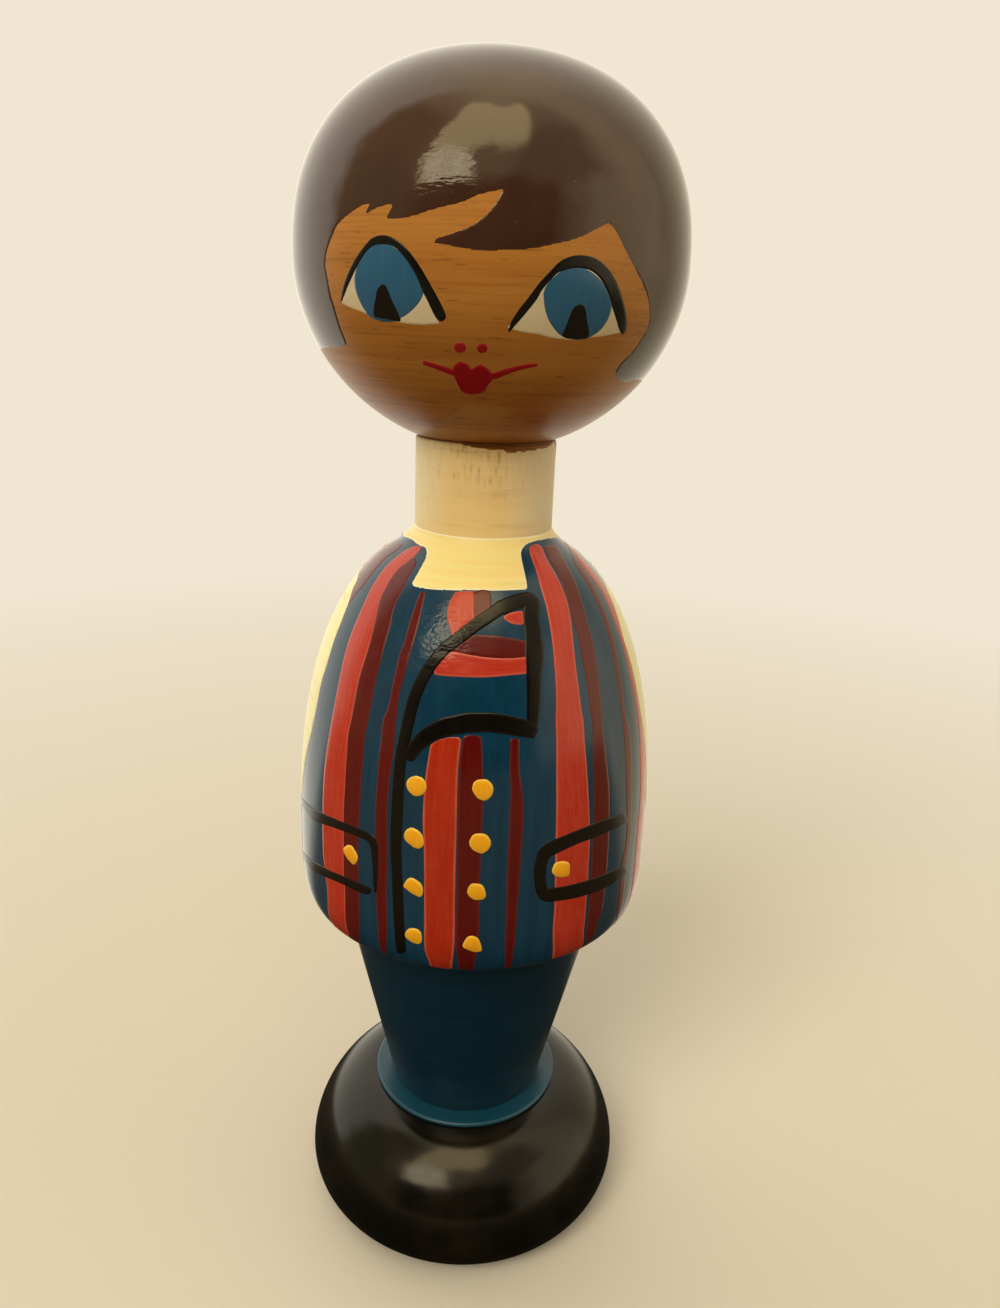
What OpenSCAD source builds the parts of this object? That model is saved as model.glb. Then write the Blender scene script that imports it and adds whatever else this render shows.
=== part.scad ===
// Turned wooden peg doll, 220 mm tall, standing on its base with its front towards -Y.
// Every piece is turned about the Z axis. Glued dowels join the base, legs, torso and neck,
// and the head turns on the smooth upper end of the neck dowel.

/* [Base] */
// Radius of the base at its widest
base_r = 32.8; // [30.5:0.1:40]
// Height of the widest circle of the base above the ground
base_widest_h = 9; // [7:0.5:12]
// Radius of the flat underside that the doll stands on
base_rest_r = 23; // [22:0.5:30]
// Radius of the flat seat on top of the dome, which carries the legs
base_seat_r = 18.5; // [12:0.1:19]
// Height of the base
base_h = 26; // [22:0.1:30]

/* [Legs] */
// Radius of the thin flange at the hem of the trousers
hem_r = 19.2; // [17:0.1:24]
// Thickness of the hem flange
hem_t = 1; // [0.6:0.1:4]
// Radius of the trousers just above the hem
ankle_r = 15.6; // [13:0.1:16.5]
// Radius of the trousers at the waist
waist_r = 26; // [18:0.5:29]
// Height of the legs, hem included
legs_h = 45.8; // [42:0.1:70]

/* [Torso] */
// Radius of the flat underside of the torso
torso_rest_r = 29.8; // [26:0.1:32]
// Radius of the torso at its widest
torso_r = 33.75; // [32.5:0.05:40]
// Height of the widest circle above the underside of the torso
torso_widest_h = 10.8; // [6:0.1:20]
// Height from the widest circle to the point that the shoulder curve runs towards
torso_rise = 62.7; // [50:0.1:90]
// Radius of the flat seat that is cut across the shoulders for the neck
shoulder_seat_r = 14.1; // [13:0.1:20]

/* [Neck] */
// Radius of the neck
neck_r = 12.4; // [9:0.1:13]
// Height of the neck
neck_h = 18.2; // [8:0.1:30]
// Radius of the flared foot of the neck
neck_foot_r = 13.9; // [13.2:0.1:14.1]
// Height of the flare at the foot of the neck
neck_foot_h = 2; // [1:0.1:5]
// Thickness of the edge of the flared foot
neck_foot_edge_t = 0.3; // [0.1:0.1:0.8]
// Rounding of the upper edge of the neck
neck_top_round = 0.5; // [0.1:0.1:1.5]

/* [Head] */
// Radius of the head at its widest
head_r = 32.8; // [26:0.05:40]
// Height of the crown above the widest circle of the head
crown_h = 30.8; // [24:0.1:40]
// Height from the widest circle down to the point that the chin curve runs towards
chin_h = 30.75; // [24:0.05:40]
// Radius of the flat seat under the head
head_seat_r = 12.1; // [9:0.1:13]

/* [Dowels] */
// Radius of the dowel between the base and the legs
foot_dowel_r = 5; // [3:0.5:7]
// Length of the foot dowel inside the base
foot_dowel_in_base = 15; // [8:0.5:17]
// Length of the foot dowel inside the legs
foot_dowel_in_legs = 15; // [8:0.5:17]
// Radius of the dowel between the legs and the torso
waist_dowel_r = 6; // [3:0.5:8]
// Length of the waist dowel inside the legs
waist_dowel_in_legs = 17; // [8:0.5:20]
// Length of the waist dowel inside the torso
waist_dowel_in_torso = 20; // [8:0.5:30]
// Radius of the long dowel through the neck
neck_dowel_r = 5; // [3:0.5:7]
// Length of the neck dowel inside the torso
neck_dowel_in_torso = 22; // [10:0.5:35]
// Length of the neck dowel inside the head, which is the spindle that the head turns on
neck_dowel_in_head = 24; // [10:0.5:40]
// Chamfer at the ends of the dowels
dowel_chamfer = 1; // [0.2:0.1:2]
// Radius of the glue flutes along the dowels
flute_r = 0.6; // [0.2:0.1:1]
// Number of glue flutes around a dowel
flute_count = 8; // [4:1:12]

/* [Fits] */
// Radial gap between a glued dowel and its bore
glue_gap = 0.05; // [0.02:0.01:0.1]
// Radial running clearance between the spindle and the head
turn_gap = 0.05; // [0.02:0.01:0.1]
// Space left at the blind end of a bore, past the end of its dowel
end_gap = 1; // [0.5:0.1:2]
// Gap between the top of the neck and the seat of the head
seat_gap = 0.15; // [0.05:0.05:0.3]

/* [Hidden] */

$fn = 120;

// How square each turned curve is: 2 gives an ellipse, more gives fuller shoulders
base_foot_power = 2.05;
base_dome_power = 1.75;
torso_rim_power = 2.4;
torso_side_power = 2.57;
neck_curve_power = 2;
chin_power = 1.97;
crown_power = 2.29;

// Straight steps that each turned curve is cut into
curve_steps = 22;
// Steps of the small curves, such as the hem's edge
small_curve_steps = 8;
// Included angle of the drill's point, which shapes the blind end of a bore
drill_angle = 118;
// How far a cutter runs past the face that it cuts
overrun = 1;

// Heights of the faces where the pieces meet
legs_z = base_h;
torso_z = legs_z + legs_h;
neck_z = torso_z + torso_widest_h + cut_height(torso_r, shoulder_seat_r, torso_rise, torso_side_power);
neck_top_z = neck_z + neck_h;
head_seat_z = neck_top_z + seat_gap;
head_widest_z = head_seat_z + cut_height(head_r, head_seat_r, chin_h, chin_power);

// Height on a curve of radius r and height h at which the radius has fallen to cut_r
function cut_height(r, cut_r, h, power) = h * pow(1 - pow(cut_r / r, power), 1 / power);

// Angle along that curve at which the radius has fallen to cut_r
function cut_angle(r, cut_r, power) = acos(pow(cut_r / r, power / 2));

// Points of a rounded corner from the upright side point to the level end point,
// or as far as the last angle. Radius is x and height is y.
function corner(side, end, power, steps, last = 90) = [
    for (i = [0:steps])
        let (a = last * i / steps)
        [
            end.x + (side.x - end.x) * pow(cos(a), 2 / power),
            side.y + (end.y - side.y) * pow(sin(a), 2 / power)
        ]
];

function reversed(points) = [for (i = [len(points) - 1:-1:0]) points[i]];

// The solid that an outline of radius and height sweeps about the Z axis
module turned(points) {
    rotate_extrude() polygon(points);
}

// The cutter for a blind bore, from its mouth at zero up to a pointed end
module bore_cutter(r, depth) {
    turned([
        [0, -overrun],
        [r, -overrun],
        [r, depth],
        [0, depth + r / tan(drill_angle / 2)]
    ]);
}

// A chamfered dowel with its lower end at zero, fluted over its glued length
module dowel(r, length, glued_length) {
    difference() {
        turned([
            [0, 0],
            [r - dowel_chamfer, 0],
            [r, dowel_chamfer],
            [r, length - dowel_chamfer],
            [r - dowel_chamfer, length],
            [0, length]
        ]);
        for (i = [0:flute_count - 1])
            rotate(360 * i / flute_count)
                translate([r, 0, -overrun])
                    cylinder(r = flute_r, h = glued_length + overrun, $fn = 32);
    }
}

module base() {
    side = [base_r, base_widest_h];
    color([0.09, 0.08, 0.07])
        difference() {
            turned(concat(
                [[0, 0]],
                reversed(corner(side, [base_rest_r, 0], base_foot_power, curve_steps)),
                corner(side, [base_seat_r, base_h], base_dome_power, curve_steps),
                [[0, base_h]]
            ));
            translate([0, 0, base_h])
                mirror([0, 0, 1])
                    bore_cutter(foot_dowel_r + glue_gap, foot_dowel_in_base + end_gap);
        }
}

module foot_dowel() {
    length = foot_dowel_in_base + foot_dowel_in_legs;
    color([0.82, 0.66, 0.44])
        translate([0, 0, legs_z - foot_dowel_in_base])
            dowel(foot_dowel_r, length, length + overrun);
}

module legs() {
    edge_r = hem_t / 2;
    hem_edge = [
        for (i = [0:2 * small_curve_steps])
            let (a = 90 * i / small_curve_steps - 90)
            [hem_r - edge_r + edge_r * cos(a), edge_r + edge_r * sin(a)]
    ];
    color([0.09, 0.24, 0.33])
        translate([0, 0, legs_z])
            difference() {
                turned(concat(
                    [[0, 0]],
                    hem_edge,
                    [[ankle_r, hem_t], [waist_r, legs_h], [0, legs_h]]
                ));
                bore_cutter(foot_dowel_r + glue_gap, foot_dowel_in_legs + end_gap);
                translate([0, 0, legs_h])
                    mirror([0, 0, 1])
                        bore_cutter(waist_dowel_r + glue_gap, waist_dowel_in_legs + end_gap);
            }
}

module waist_dowel() {
    length = waist_dowel_in_legs + waist_dowel_in_torso;
    color([0.82, 0.66, 0.44])
        translate([0, 0, torso_z - waist_dowel_in_legs])
            dowel(waist_dowel_r, length, length + overrun);
}

module torso() {
    side = [torso_r, torso_widest_h];
    shoulder_end = [0, torso_widest_h + torso_rise];
    shoulder_angle = cut_angle(torso_r, shoulder_seat_r, torso_side_power);
    color([0.12, 0.30, 0.40])
        translate([0, 0, torso_z])
            difference() {
                turned(concat(
                    [[0, 0]],
                    reversed(corner(side, [torso_rest_r, 0], torso_rim_power, curve_steps)),
                    corner(side, shoulder_end, torso_side_power, curve_steps, shoulder_angle),
                    [[0, neck_z - torso_z]]
                ));
                bore_cutter(waist_dowel_r + glue_gap, waist_dowel_in_torso + end_gap);
                translate([0, 0, neck_z - torso_z])
                    mirror([0, 0, 1])
                        bore_cutter(neck_dowel_r + glue_gap, neck_dowel_in_torso + end_gap);
            }
}

module neck_dowel() {
    glued_length = neck_dowel_in_torso + neck_h;
    color([0.82, 0.66, 0.44])
        translate([0, 0, neck_z - neck_dowel_in_torso])
            dowel(neck_dowel_r, glued_length + seat_gap + neck_dowel_in_head, glued_length);
}

module neck() {
    bore_r = neck_dowel_r + glue_gap;
    foot_edge = [neck_foot_r, neck_foot_edge_t];
    flare = corner([neck_r, neck_foot_h], foot_edge, neck_curve_power, small_curve_steps);
    top_side = [neck_r, neck_h - neck_top_round];
    top_edge = [neck_r - neck_top_round, neck_h];
    color([0.93, 0.80, 0.55])
        translate([0, 0, neck_z])
            turned(concat(
                [[bore_r, 0], [neck_foot_r, 0]],
                reversed(flare),
                corner(top_side, top_edge, neck_curve_power, small_curve_steps),
                [[bore_r, neck_h]]
            ));
}

module head() {
    side = [head_r, head_widest_z - head_seat_z];
    chin_end = [0, side.y - chin_h];
    crown_end = [0, side.y + crown_h];
    seat_angle = cut_angle(head_r, head_seat_r, chin_power);
    color([0.62, 0.38, 0.16])
        translate([0, 0, head_seat_z])
            difference() {
                turned(concat(
                    [[0, 0]],
                    reversed(corner(side, chin_end, chin_power, curve_steps, seat_angle)),
                    corner(side, crown_end, crown_power, curve_steps)
                ));
                bore_cutter(neck_dowel_r + turn_gap, neck_dowel_in_head + end_gap);
            }
}

base();
foot_dowel();
legs();
waist_dowel();
torso();
neck_dowel();
neck();
head();
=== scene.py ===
from functools import cached_property

import bmesh
import bpy
import numpy as np
from mathutils import Matrix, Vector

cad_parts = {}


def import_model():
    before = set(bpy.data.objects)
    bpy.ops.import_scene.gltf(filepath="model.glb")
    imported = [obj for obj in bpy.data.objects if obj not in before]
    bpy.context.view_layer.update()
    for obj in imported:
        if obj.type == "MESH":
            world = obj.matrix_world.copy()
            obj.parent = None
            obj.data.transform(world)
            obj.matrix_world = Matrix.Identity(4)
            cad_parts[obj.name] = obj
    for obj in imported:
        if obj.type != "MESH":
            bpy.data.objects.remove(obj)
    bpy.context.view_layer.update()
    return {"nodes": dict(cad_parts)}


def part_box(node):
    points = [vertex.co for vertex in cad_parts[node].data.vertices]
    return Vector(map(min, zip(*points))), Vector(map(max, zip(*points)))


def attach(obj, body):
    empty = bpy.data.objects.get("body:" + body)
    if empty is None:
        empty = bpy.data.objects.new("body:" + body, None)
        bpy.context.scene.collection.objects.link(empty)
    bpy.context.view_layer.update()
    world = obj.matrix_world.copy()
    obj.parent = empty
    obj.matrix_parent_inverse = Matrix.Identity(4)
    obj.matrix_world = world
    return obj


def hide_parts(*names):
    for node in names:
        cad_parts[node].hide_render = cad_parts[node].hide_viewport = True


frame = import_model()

# The doll stands on its base with its front towards -Y. Left and right are the doll's own,
# so its left is +X. A turn is an azimuth about Z in radians, 0 at the front, positive to its left.
# A length along an outline runs from the bottom of a turned piece to its top.
MM = 0.001
DEGREE = 180 / np.pi

# Camera, worked out from the perspective of the photograph
PHOTO_W, PHOTO_H = 1000, 1308
FOCAL_PX = 1000
CAMERA_DISTANCE = 179.6 * MM
CAMERA_HEIGHT = 180.5 * MM
CAMERA_TURN = np.radians(6.5)
CAMERA_DIP = np.radians(18.5)
CAMERA_PAN = np.radians(1.27)
CAMERA_ROLL = np.radians(2.31)
SENSOR_W = 36


def camera_axes():
    """Where the camera stands, and its right, up and forward directions, as rows."""
    dip, pan, roll = CAMERA_DIP, CAMERA_PAN, CAMERA_ROLL
    ahead = np.array([np.sin(pan) * np.cos(dip), np.cos(pan) * np.cos(dip), -np.sin(dip)])
    level = np.array([np.cos(pan), -np.sin(pan), 0])
    upright = np.cross(level, ahead)
    right = level * np.cos(roll) + upright * np.sin(roll)
    up = upright * np.cos(roll) - level * np.sin(roll)
    place = np.array([0, -CAMERA_DISTANCE, CAMERA_HEIGHT])
    c, s = np.cos(CAMERA_TURN), np.sin(CAMERA_TURN)
    swing = np.array([[c, -s, 0], [s, c, 0], [0, 0, 1]])
    return np.array([place, right, up, ahead]) @ swing.T


def corner(side, end, power, steps=240, last=90.0):
    """A quarter of a superellipse. The radius goes from the side point to the end point as a
    power of the cosine, and the height goes there as the same power of the sine."""
    angle = np.radians(np.linspace(0, last, steps + 1))
    cosine = np.where(angle >= np.pi / 2, 0, np.cos(angle)) ** (2 / power)
    sine = np.sin(angle) ** (2 / power)
    side, end = np.array(side), np.array(end)
    return np.stack([end[0] + (side[0] - end[0]) * cosine,
                     side[1] + (end[1] - side[1]) * sine], 1)


def line(start, end):
    """A straight stretch of an outline, as its ends and its middle."""
    share = np.linspace(0, 1, 3)[:, None]
    return np.array(start) * (1 - share) + np.array(end) * share


def cut_angle(radius, cut_radius, power):
    """Angle in degrees at which a superellipse has narrowed to the radius that cuts it."""
    return np.degrees(np.arccos((cut_radius / radius) ** (power / 2)))


def walked(steps):
    """Length walked after each of a row of steps, from nothing on."""
    return np.concatenate([[0], np.cumsum(np.linalg.norm(steps, axis=1))])


class Turned:
    """A turned surface that moves with a body, as stretches of outline in millimetres of radius
    and height, bottom to top, each with the number of mesh rows that it is cut into."""

    # Steps of outline that count as none, in millimetres, and slopes that count as level
    SAME_POINT = 1e-9
    LEVEL_SLOPE = 1e-3
    # From where to where a ray is walked, and in what steps, in millimetres
    RAY_WALK = (90, 300, 0.05)

    def __init__(self, body, *stretches):
        self.body = body
        points = np.concatenate([stretch for stretch, rows in stretches])
        apart = np.linalg.norm(np.diff(points, axis=0), axis=1) > self.SAME_POINT
        points = points[np.concatenate([[True], apart])] * MM
        self.r, self.z = points.T
        self.s = walked(np.diff(points, axis=0))
        self.slope_r = np.gradient(self.r, self.s)
        self.slope_z = np.gradient(self.z, self.s)
        self.rising = slice(int(np.argmax(self.slope_z > self.LEVEL_SLOPE)), None)
        rows = []
        start = 0.0
        for stretch, count in stretches:
            length = walked(np.diff(stretch, axis=0))[-1] * MM
            rows.append(start + length * np.arange(count) / count)
            start += length
        self.rows = np.append(np.concatenate(rows), self.s[-1])

    def at(self, turn, along, lift=0.0):
        """The point at a turn and a length along the outline, lifted along the outward normal:
        radius and height come from the outline, and the normal is its slope turned by 90."""
        radius = np.interp(along, self.s, self.r) + lift * np.interp(along, self.s, self.slope_z)
        height = np.interp(along, self.s, self.z) - lift * np.interp(along, self.s, self.slope_r)
        return np.stack([radius * np.sin(turn), -radius * np.cos(turn), height], -1)

    def scale(self, rows):
        """What a radian of turn and a metre of length measure in metres, at rows of both."""
        radius = np.interp(rows[..., 1], self.s, self.r)
        return np.stack([radius, np.ones_like(radius)], -1)

    def along(self, height):
        """Length along the outline at a height in millimetres, on its rising outer side."""
        return np.interp(np.asarray(height) * MM, self.z[self.rising], self.s[self.rising])

    def placed(self, degrees_heights):
        """Rows of turn and length from given degrees and heights in millimetres."""
        degrees, heights = np.array(degrees_heights, float).T
        return np.stack([np.radians(degrees), self.along(heights)], 1)

    def seen(self, pixels):
        """Turns and lengths where rays from the camera through pixels first meet the surface.
        Each ray is walked in small steps until its distance to the axis falls below the
        outline's radius at that height. A ray that just misses takes its nearest step."""
        place, right, up, ahead = camera_axes()
        across, down = np.asarray(pixels, float).T[:, :, None]
        ray = FOCAL_PX * ahead + (across - PHOTO_W / 2) * right + (PHOTO_H / 2 - down) * up
        ray /= np.linalg.norm(ray, axis=1, keepdims=True)
        walk = np.arange(*self.RAY_WALK) * MM
        height = place[2] + walk * ray[:, 2:]
        reach = np.hypot(place[0] + walk * ray[:, :1], place[1] + walk * ray[:, 1:2])
        gap = reach - np.interp(height, self.z[self.rising], self.r[self.rising], -1, -1)
        found = np.where((gap < 0).any(1), np.argmax(gap < 0, 1), np.argmin(gap, 1))
        spot = place + walk[found, None] * ray
        return np.stack([np.arctan2(spot[:, 0], -spot[:, 1]), self.along(spot[:, 2] / MM)], 1)


# Sizes of the turned pieces in millimetres, the same as the frame's
BASE_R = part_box("base")[1].x / MM
BASE_WIDEST_H = 9
BASE_REST_R = 23
BASE_SEAT_R = 18.5
LEGS_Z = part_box("legs")[0].z / MM
LEGS_TOP_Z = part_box("legs")[1].z / MM
HEM_R = 19.2
HEM_T = 1
ANKLE_R = 15.6
WAIST_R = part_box("legs")[1].x / MM
TORSO_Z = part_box("torso")[0].z / MM
TORSO_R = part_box("torso")[1].x / MM
TORSO_REST_R = 29.8
TORSO_WIDEST_Z = TORSO_Z + 10.8
TORSO_RISE = 62.7
NECK_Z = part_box("neck")[0].z / MM
NECK_TOP_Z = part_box("neck")[1].z / MM
NECK_R = 12.4
NECK_FOOT_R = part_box("neck")[1].x / MM
NECK_FOOT_H = 2
NECK_FOOT_EDGE_T = 0.3
NECK_TOP_ROUND = 0.5
HEAD_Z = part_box("head")[0].z / MM
HEAD_TOP_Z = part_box("head")[1].z / MM
HEAD_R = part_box("head")[1].x / MM
HEAD_WIDEST_Z = HEAD_TOP_Z - 30.8
HEAD_SEAT_R = 12.1
CHIN_H = 30.75
TORSO_POWER = 2.57
TORSO_RIM_POWER = 2.4
BASE_DOME_POWER = 1.75
BASE_FOOT_POWER = 2.05
CHIN_POWER = 1.97
CROWN_POWER = 2.29

# The fillet of paint between the shoulders and the neck: where it leaves the shoulder, the
# point that its curve bends towards, and where it ends, as radii and heights in millimetres
FILLET_R = 16.4
FILLET_KNEE = (12.75, NECK_Z + 1.0)
FILLET_TOP = (12.37, NECK_Z + 2.6)


def base_outline():
    side = (BASE_R, BASE_WIDEST_H)
    return Turned(
        "figure",
        (line((0, 0), (BASE_REST_R, 0)), 4),
        (corner(side, (BASE_REST_R, 0), BASE_FOOT_POWER)[::-1], 30),
        (corner(side, (BASE_SEAT_R, LEGS_Z), BASE_DOME_POWER), 70),
        (line((BASE_SEAT_R, LEGS_Z), (0, LEGS_Z)), 2))


def legs_outline():
    angle = np.linspace(-np.pi / 2, np.pi / 2, 61)
    edge = np.stack([HEM_R - HEM_T / 2 + HEM_T / 2 * np.cos(angle),
                     LEGS_Z + HEM_T / 2 + HEM_T / 2 * np.sin(angle)], 1)
    foot = (ANKLE_R, LEGS_Z + HEM_T)
    return Turned(
        "figure",
        (line((0, LEGS_Z), edge[0]), 2),
        (edge, 16),
        (line(edge[-1], foot), 6),
        (line(foot, (WAIST_R, LEGS_TOP_Z)), 60),
        (line((WAIST_R, LEGS_TOP_Z), (0, LEGS_TOP_Z)), 2))


def torso_outline():
    """The turned torso, and above its shoulders the fillet of paint that carries them up the
    neck's foot: a curve that leaves the shoulder along its slope and ends upright on the neck."""
    side = (TORSO_R, TORSO_WIDEST_Z)
    last = cut_angle(TORSO_R, FILLET_R, TORSO_POWER)
    shoulder = corner(side, (0, TORSO_WIDEST_Z + TORSO_RISE), TORSO_POWER, 480, last)
    start, middle, end = shoulder[-1], np.array(FILLET_KNEE), np.array(FILLET_TOP)
    share = np.linspace(0, 1, 61)[:, None]
    fillet = start * (1 - share) ** 2 + middle * 2 * share * (1 - share) + end * share ** 2
    return Turned(
        "figure",
        (line((0, TORSO_Z), (TORSO_REST_R, TORSO_Z)), 4),
        (corner(side, (TORSO_REST_R, TORSO_Z), TORSO_RIM_POWER)[::-1], 34),
        (shoulder, 110),
        (fillet, 30),
        (line(end, (0, end[1])), 3))


def neck_outline():
    foot_edge = (NECK_FOOT_R, NECK_Z + NECK_FOOT_EDGE_T)
    flare = corner((NECK_R, NECK_Z + NECK_FOOT_H), foot_edge, 2)[::-1]
    top_side = (NECK_R, NECK_TOP_Z - NECK_TOP_ROUND)
    top_edge = (NECK_R - NECK_TOP_ROUND, NECK_TOP_Z)
    return Turned(
        "figure",
        (line((0, NECK_Z), (NECK_FOOT_R, NECK_Z)), 2),
        (line((NECK_FOOT_R, NECK_Z), foot_edge), 2),
        (flare, 14),
        (line(flare[-1], top_side), 40),
        (corner(top_side, top_edge, 2), 8),
        (line(top_edge, (0, NECK_TOP_Z)), 2))


def head_outline():
    side = (HEAD_R, HEAD_WIDEST_Z)
    last = cut_angle(HEAD_R, HEAD_SEAT_R, CHIN_POWER)
    return Turned(
        "turning_head",
        (line((0, HEAD_Z), (HEAD_SEAT_R, HEAD_Z)), 3),
        (corner(side, (0, HEAD_WIDEST_Z - CHIN_H), CHIN_POWER, 480, last)[::-1], 90),
        (corner(side, (0, HEAD_TOP_Z), CROWN_POWER, 480), 90))


BASE, LEGS, TORSO = base_outline(), legs_outline(), torso_outline()
NECK, HEAD = neck_outline(), head_outline()

WELD = 0.0005 * MM
SHARP_ANGLE = np.radians(38)


def mesh_piece(name, surface, paint, places, marks, inset, faces):
    """A smooth closed mesh piece that moves with its surface's body and takes its paint's material;
    the paint's slot name is not used. Points at the same place are welded, which closes seams
    and poles, and the faces are turned over where the volume they hold comes out negative."""
    first = places[faces[:, 0]]
    volume = 0.0
    for k in range(1, faces.shape[1] - 1):
        volume += (first * np.cross(places[faces[:, k]], places[faces[:, k + 1]])).sum()
    if volume < 0:
        faces = faces[:, ::-1]
    mesh = bpy.data.meshes.new(name)
    mesh.vertices.add(len(places))
    mesh.vertices.foreach_set("co", places.ravel())
    mesh.loops.add(faces.size)
    mesh.loops.foreach_set("vertex_index", faces.ravel())
    mesh.polygons.add(len(faces))
    mesh.polygons.foreach_set("loop_start", np.arange(len(faces)) * faces.shape[1])
    mesh.polygons.foreach_set("loop_total", np.full(len(faces), faces.shape[1]))
    mesh.update(calc_edges=True)
    mesh.uv_layers.new(name="brush").data.foreach_set("uv", marks[faces.ravel()].ravel())
    mesh.attributes.new("inset", "FLOAT", "POINT").data.foreach_set("value", inset)
    welded = bmesh.new()
    welded.from_mesh(mesh)
    bmesh.ops.remove_doubles(welded, verts=welded.verts, dist=WELD)
    bmesh.ops.dissolve_degenerate(welded, edges=welded.edges, dist=WELD)
    welded.to_mesh(mesh)
    welded.free()
    mesh.polygons.foreach_set("use_smooth", np.ones(len(mesh.polygons), bool))
    mesh.set_sharp_from_angle(angle=SHARP_ANGLE)
    slot, material = paint
    body = surface.body
    mesh.materials.append(material)
    piece = bpy.data.objects.new(name, mesh)
    bpy.context.scene.collection.objects.link(piece)
    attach(piece, body)
    return piece


def grid_cells(shape):
    """The four corners of each cell of a grid of points, as rows of indices."""
    index = np.arange(shape[0] * shape[1]).reshape(shape[:2])
    cells = [index[:-1, :-1], index[1:, :-1], index[1:, 1:], index[:-1, 1:]]
    return np.stack(cells, -1).reshape(-1, 4)


def lattice(name, surface, paint, places, marks, inset):
    """A piece from a grid of points, each cell a face."""
    return mesh_piece(name, surface, paint, places.reshape(-1, 3), marks.reshape(-1, 2),
                      inset.ravel(), grid_cells(places.shape))


# How deep the underside and rim of a paint film sit in the wood, and how far in from its rim
# a film reaches its full thickness
SUNK = 0.03 * MM
RIM = 0.35 * MM

# A radian of turn counts as this length when a curve is measured
SPAN = 33 * MM

# Samples between two given points of a curve, along the edges of lines, stripes and the eye's
# white, and along a smile or a run of a filled outline
CURVE_STEPS = 24
LINE_SAMPLES = 110
BAND_SAMPLES = 120
WHITE_SAMPLES = 90
RUN_SAMPLES = 60

# Length of a stripe's rounded end in half widths
BAND_ROUNDING = 0.4

# Where a line runs on out of sight: its samples, and how much it narrows before its round end
ONWARD_SAMPLES = 25
ONWARD_TAPER = 0.3

# Share of the way out at which the last ring of a blob lies before its rim
LAST_RING = 0.985


def smooth_curve(points, count, span=SPAN):
    """A Catmull-Rom curve through rows of turn and length, with its samples spread evenly."""
    p = np.asarray(points, float) * np.append(span, np.ones(len(points[0]) - 1))
    p = np.vstack([2 * p[0] - p[1], p, 2 * p[-1] - p[-2]])
    a, b, c, d = (p[k:len(p) - 3 + k, None] for k in range(4))
    t = np.linspace(0, 1, CURVE_STEPS, endpoint=False)[None, :, None]
    fine = (2 * b + (c - a) * t + (2 * a - 5 * b + 4 * c - d) * t ** 2
            + (3 * b - a - 3 * c + d) * t ** 3) / 2
    fine = np.vstack([fine.reshape(-1, p.shape[1]), p[-2]])
    run = walked(np.diff(fine, axis=0))
    even = np.linspace(0, run[-1], count)
    curve = np.stack([np.interp(even, run, column) for column in fine.T], 1)
    curve[:, 0] /= span
    return curve


def quarter_round(distance, reach):
    """Share of the full height at a distance in from a rim: a quarter circle over the reach."""
    return np.sqrt(1 - (1 - np.clip(distance / reach, 0, 1)) ** 2)


def film(name, surface, paint, left, right, lift, columns=12):
    """A closed film of paint between two edges that are sampled alike, rows of turn and length.
    Each row is a flat loop: over the top from edge to edge, where the height is the lift with
    rims rounded as quarter circles, and back underneath, sunk in the wood."""
    middle, half = (left + right) / 2, (right - left) / 2
    loop = np.linspace(0, 2 * np.pi, 2 * columns + 1)
    side, over = np.cos(loop), np.sin(loop)
    spot = middle[:, None] + half[:, None] * side[None, :, None]
    width = np.linalg.norm(half * surface.scale(middle), axis=1)[:, None]
    inset = width * (1 - np.abs(side))
    height = np.where(over > 0, quarter_round(inset, RIM) * (lift + SUNK), 0) - SUNK
    run = walked(np.diff(middle, axis=0) * surface.scale(middle[1:]))[:, None]
    marks = np.stack([width * side, np.broadcast_to(run, inset.shape)], -1) / MM
    return lattice(name, surface, paint, surface.at(spot[..., 0], spot[..., 1], height), marks,
                   inset / MM)


def rounded_ends(points, half, first=1.0, last=1.0):
    """Shares of the width along a stroke: a half circle as long as the given number of half
    widths at each end, or a plain square end where that is nothing."""
    run = walked(np.diff(points, axis=0))
    share = np.ones(len(run))
    for distance, reach in ((run, first * half[0]), (run[-1] - run, last * half[-1])):
        if reach > 0:
            share *= quarter_round(distance, reach)
    share[[0, -1]] = 0
    return share


def beside(middle, half, scale=1.0):
    """The two edges that lie half a width to each side of a path, square to it, where the scale
    brings its turns and lengths to one measure."""
    ahead = np.gradient(middle, axis=0) * scale
    ahead /= np.linalg.norm(ahead, axis=1, keepdims=True)
    sideways = np.stack([-ahead[:, 1], ahead[:, 0]], 1) * half[:, None] / scale
    return middle - sideways, middle + sideways


def stroke(name, surface, paint, path, widths, lift):
    """A brush stroke with round ends along a path, which is rows of turn and length with a
    width in metres for each."""
    curve = smooth_curve(np.column_stack([path, widths]), RUN_SAMPLES)
    middle, half = curve[:, :2], curve[:, 2] / 2
    scale = surface.scale(middle)
    half = half * rounded_ends(middle * scale, half)
    return film(name, surface, paint, *beside(middle, half, scale), lift)


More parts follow.
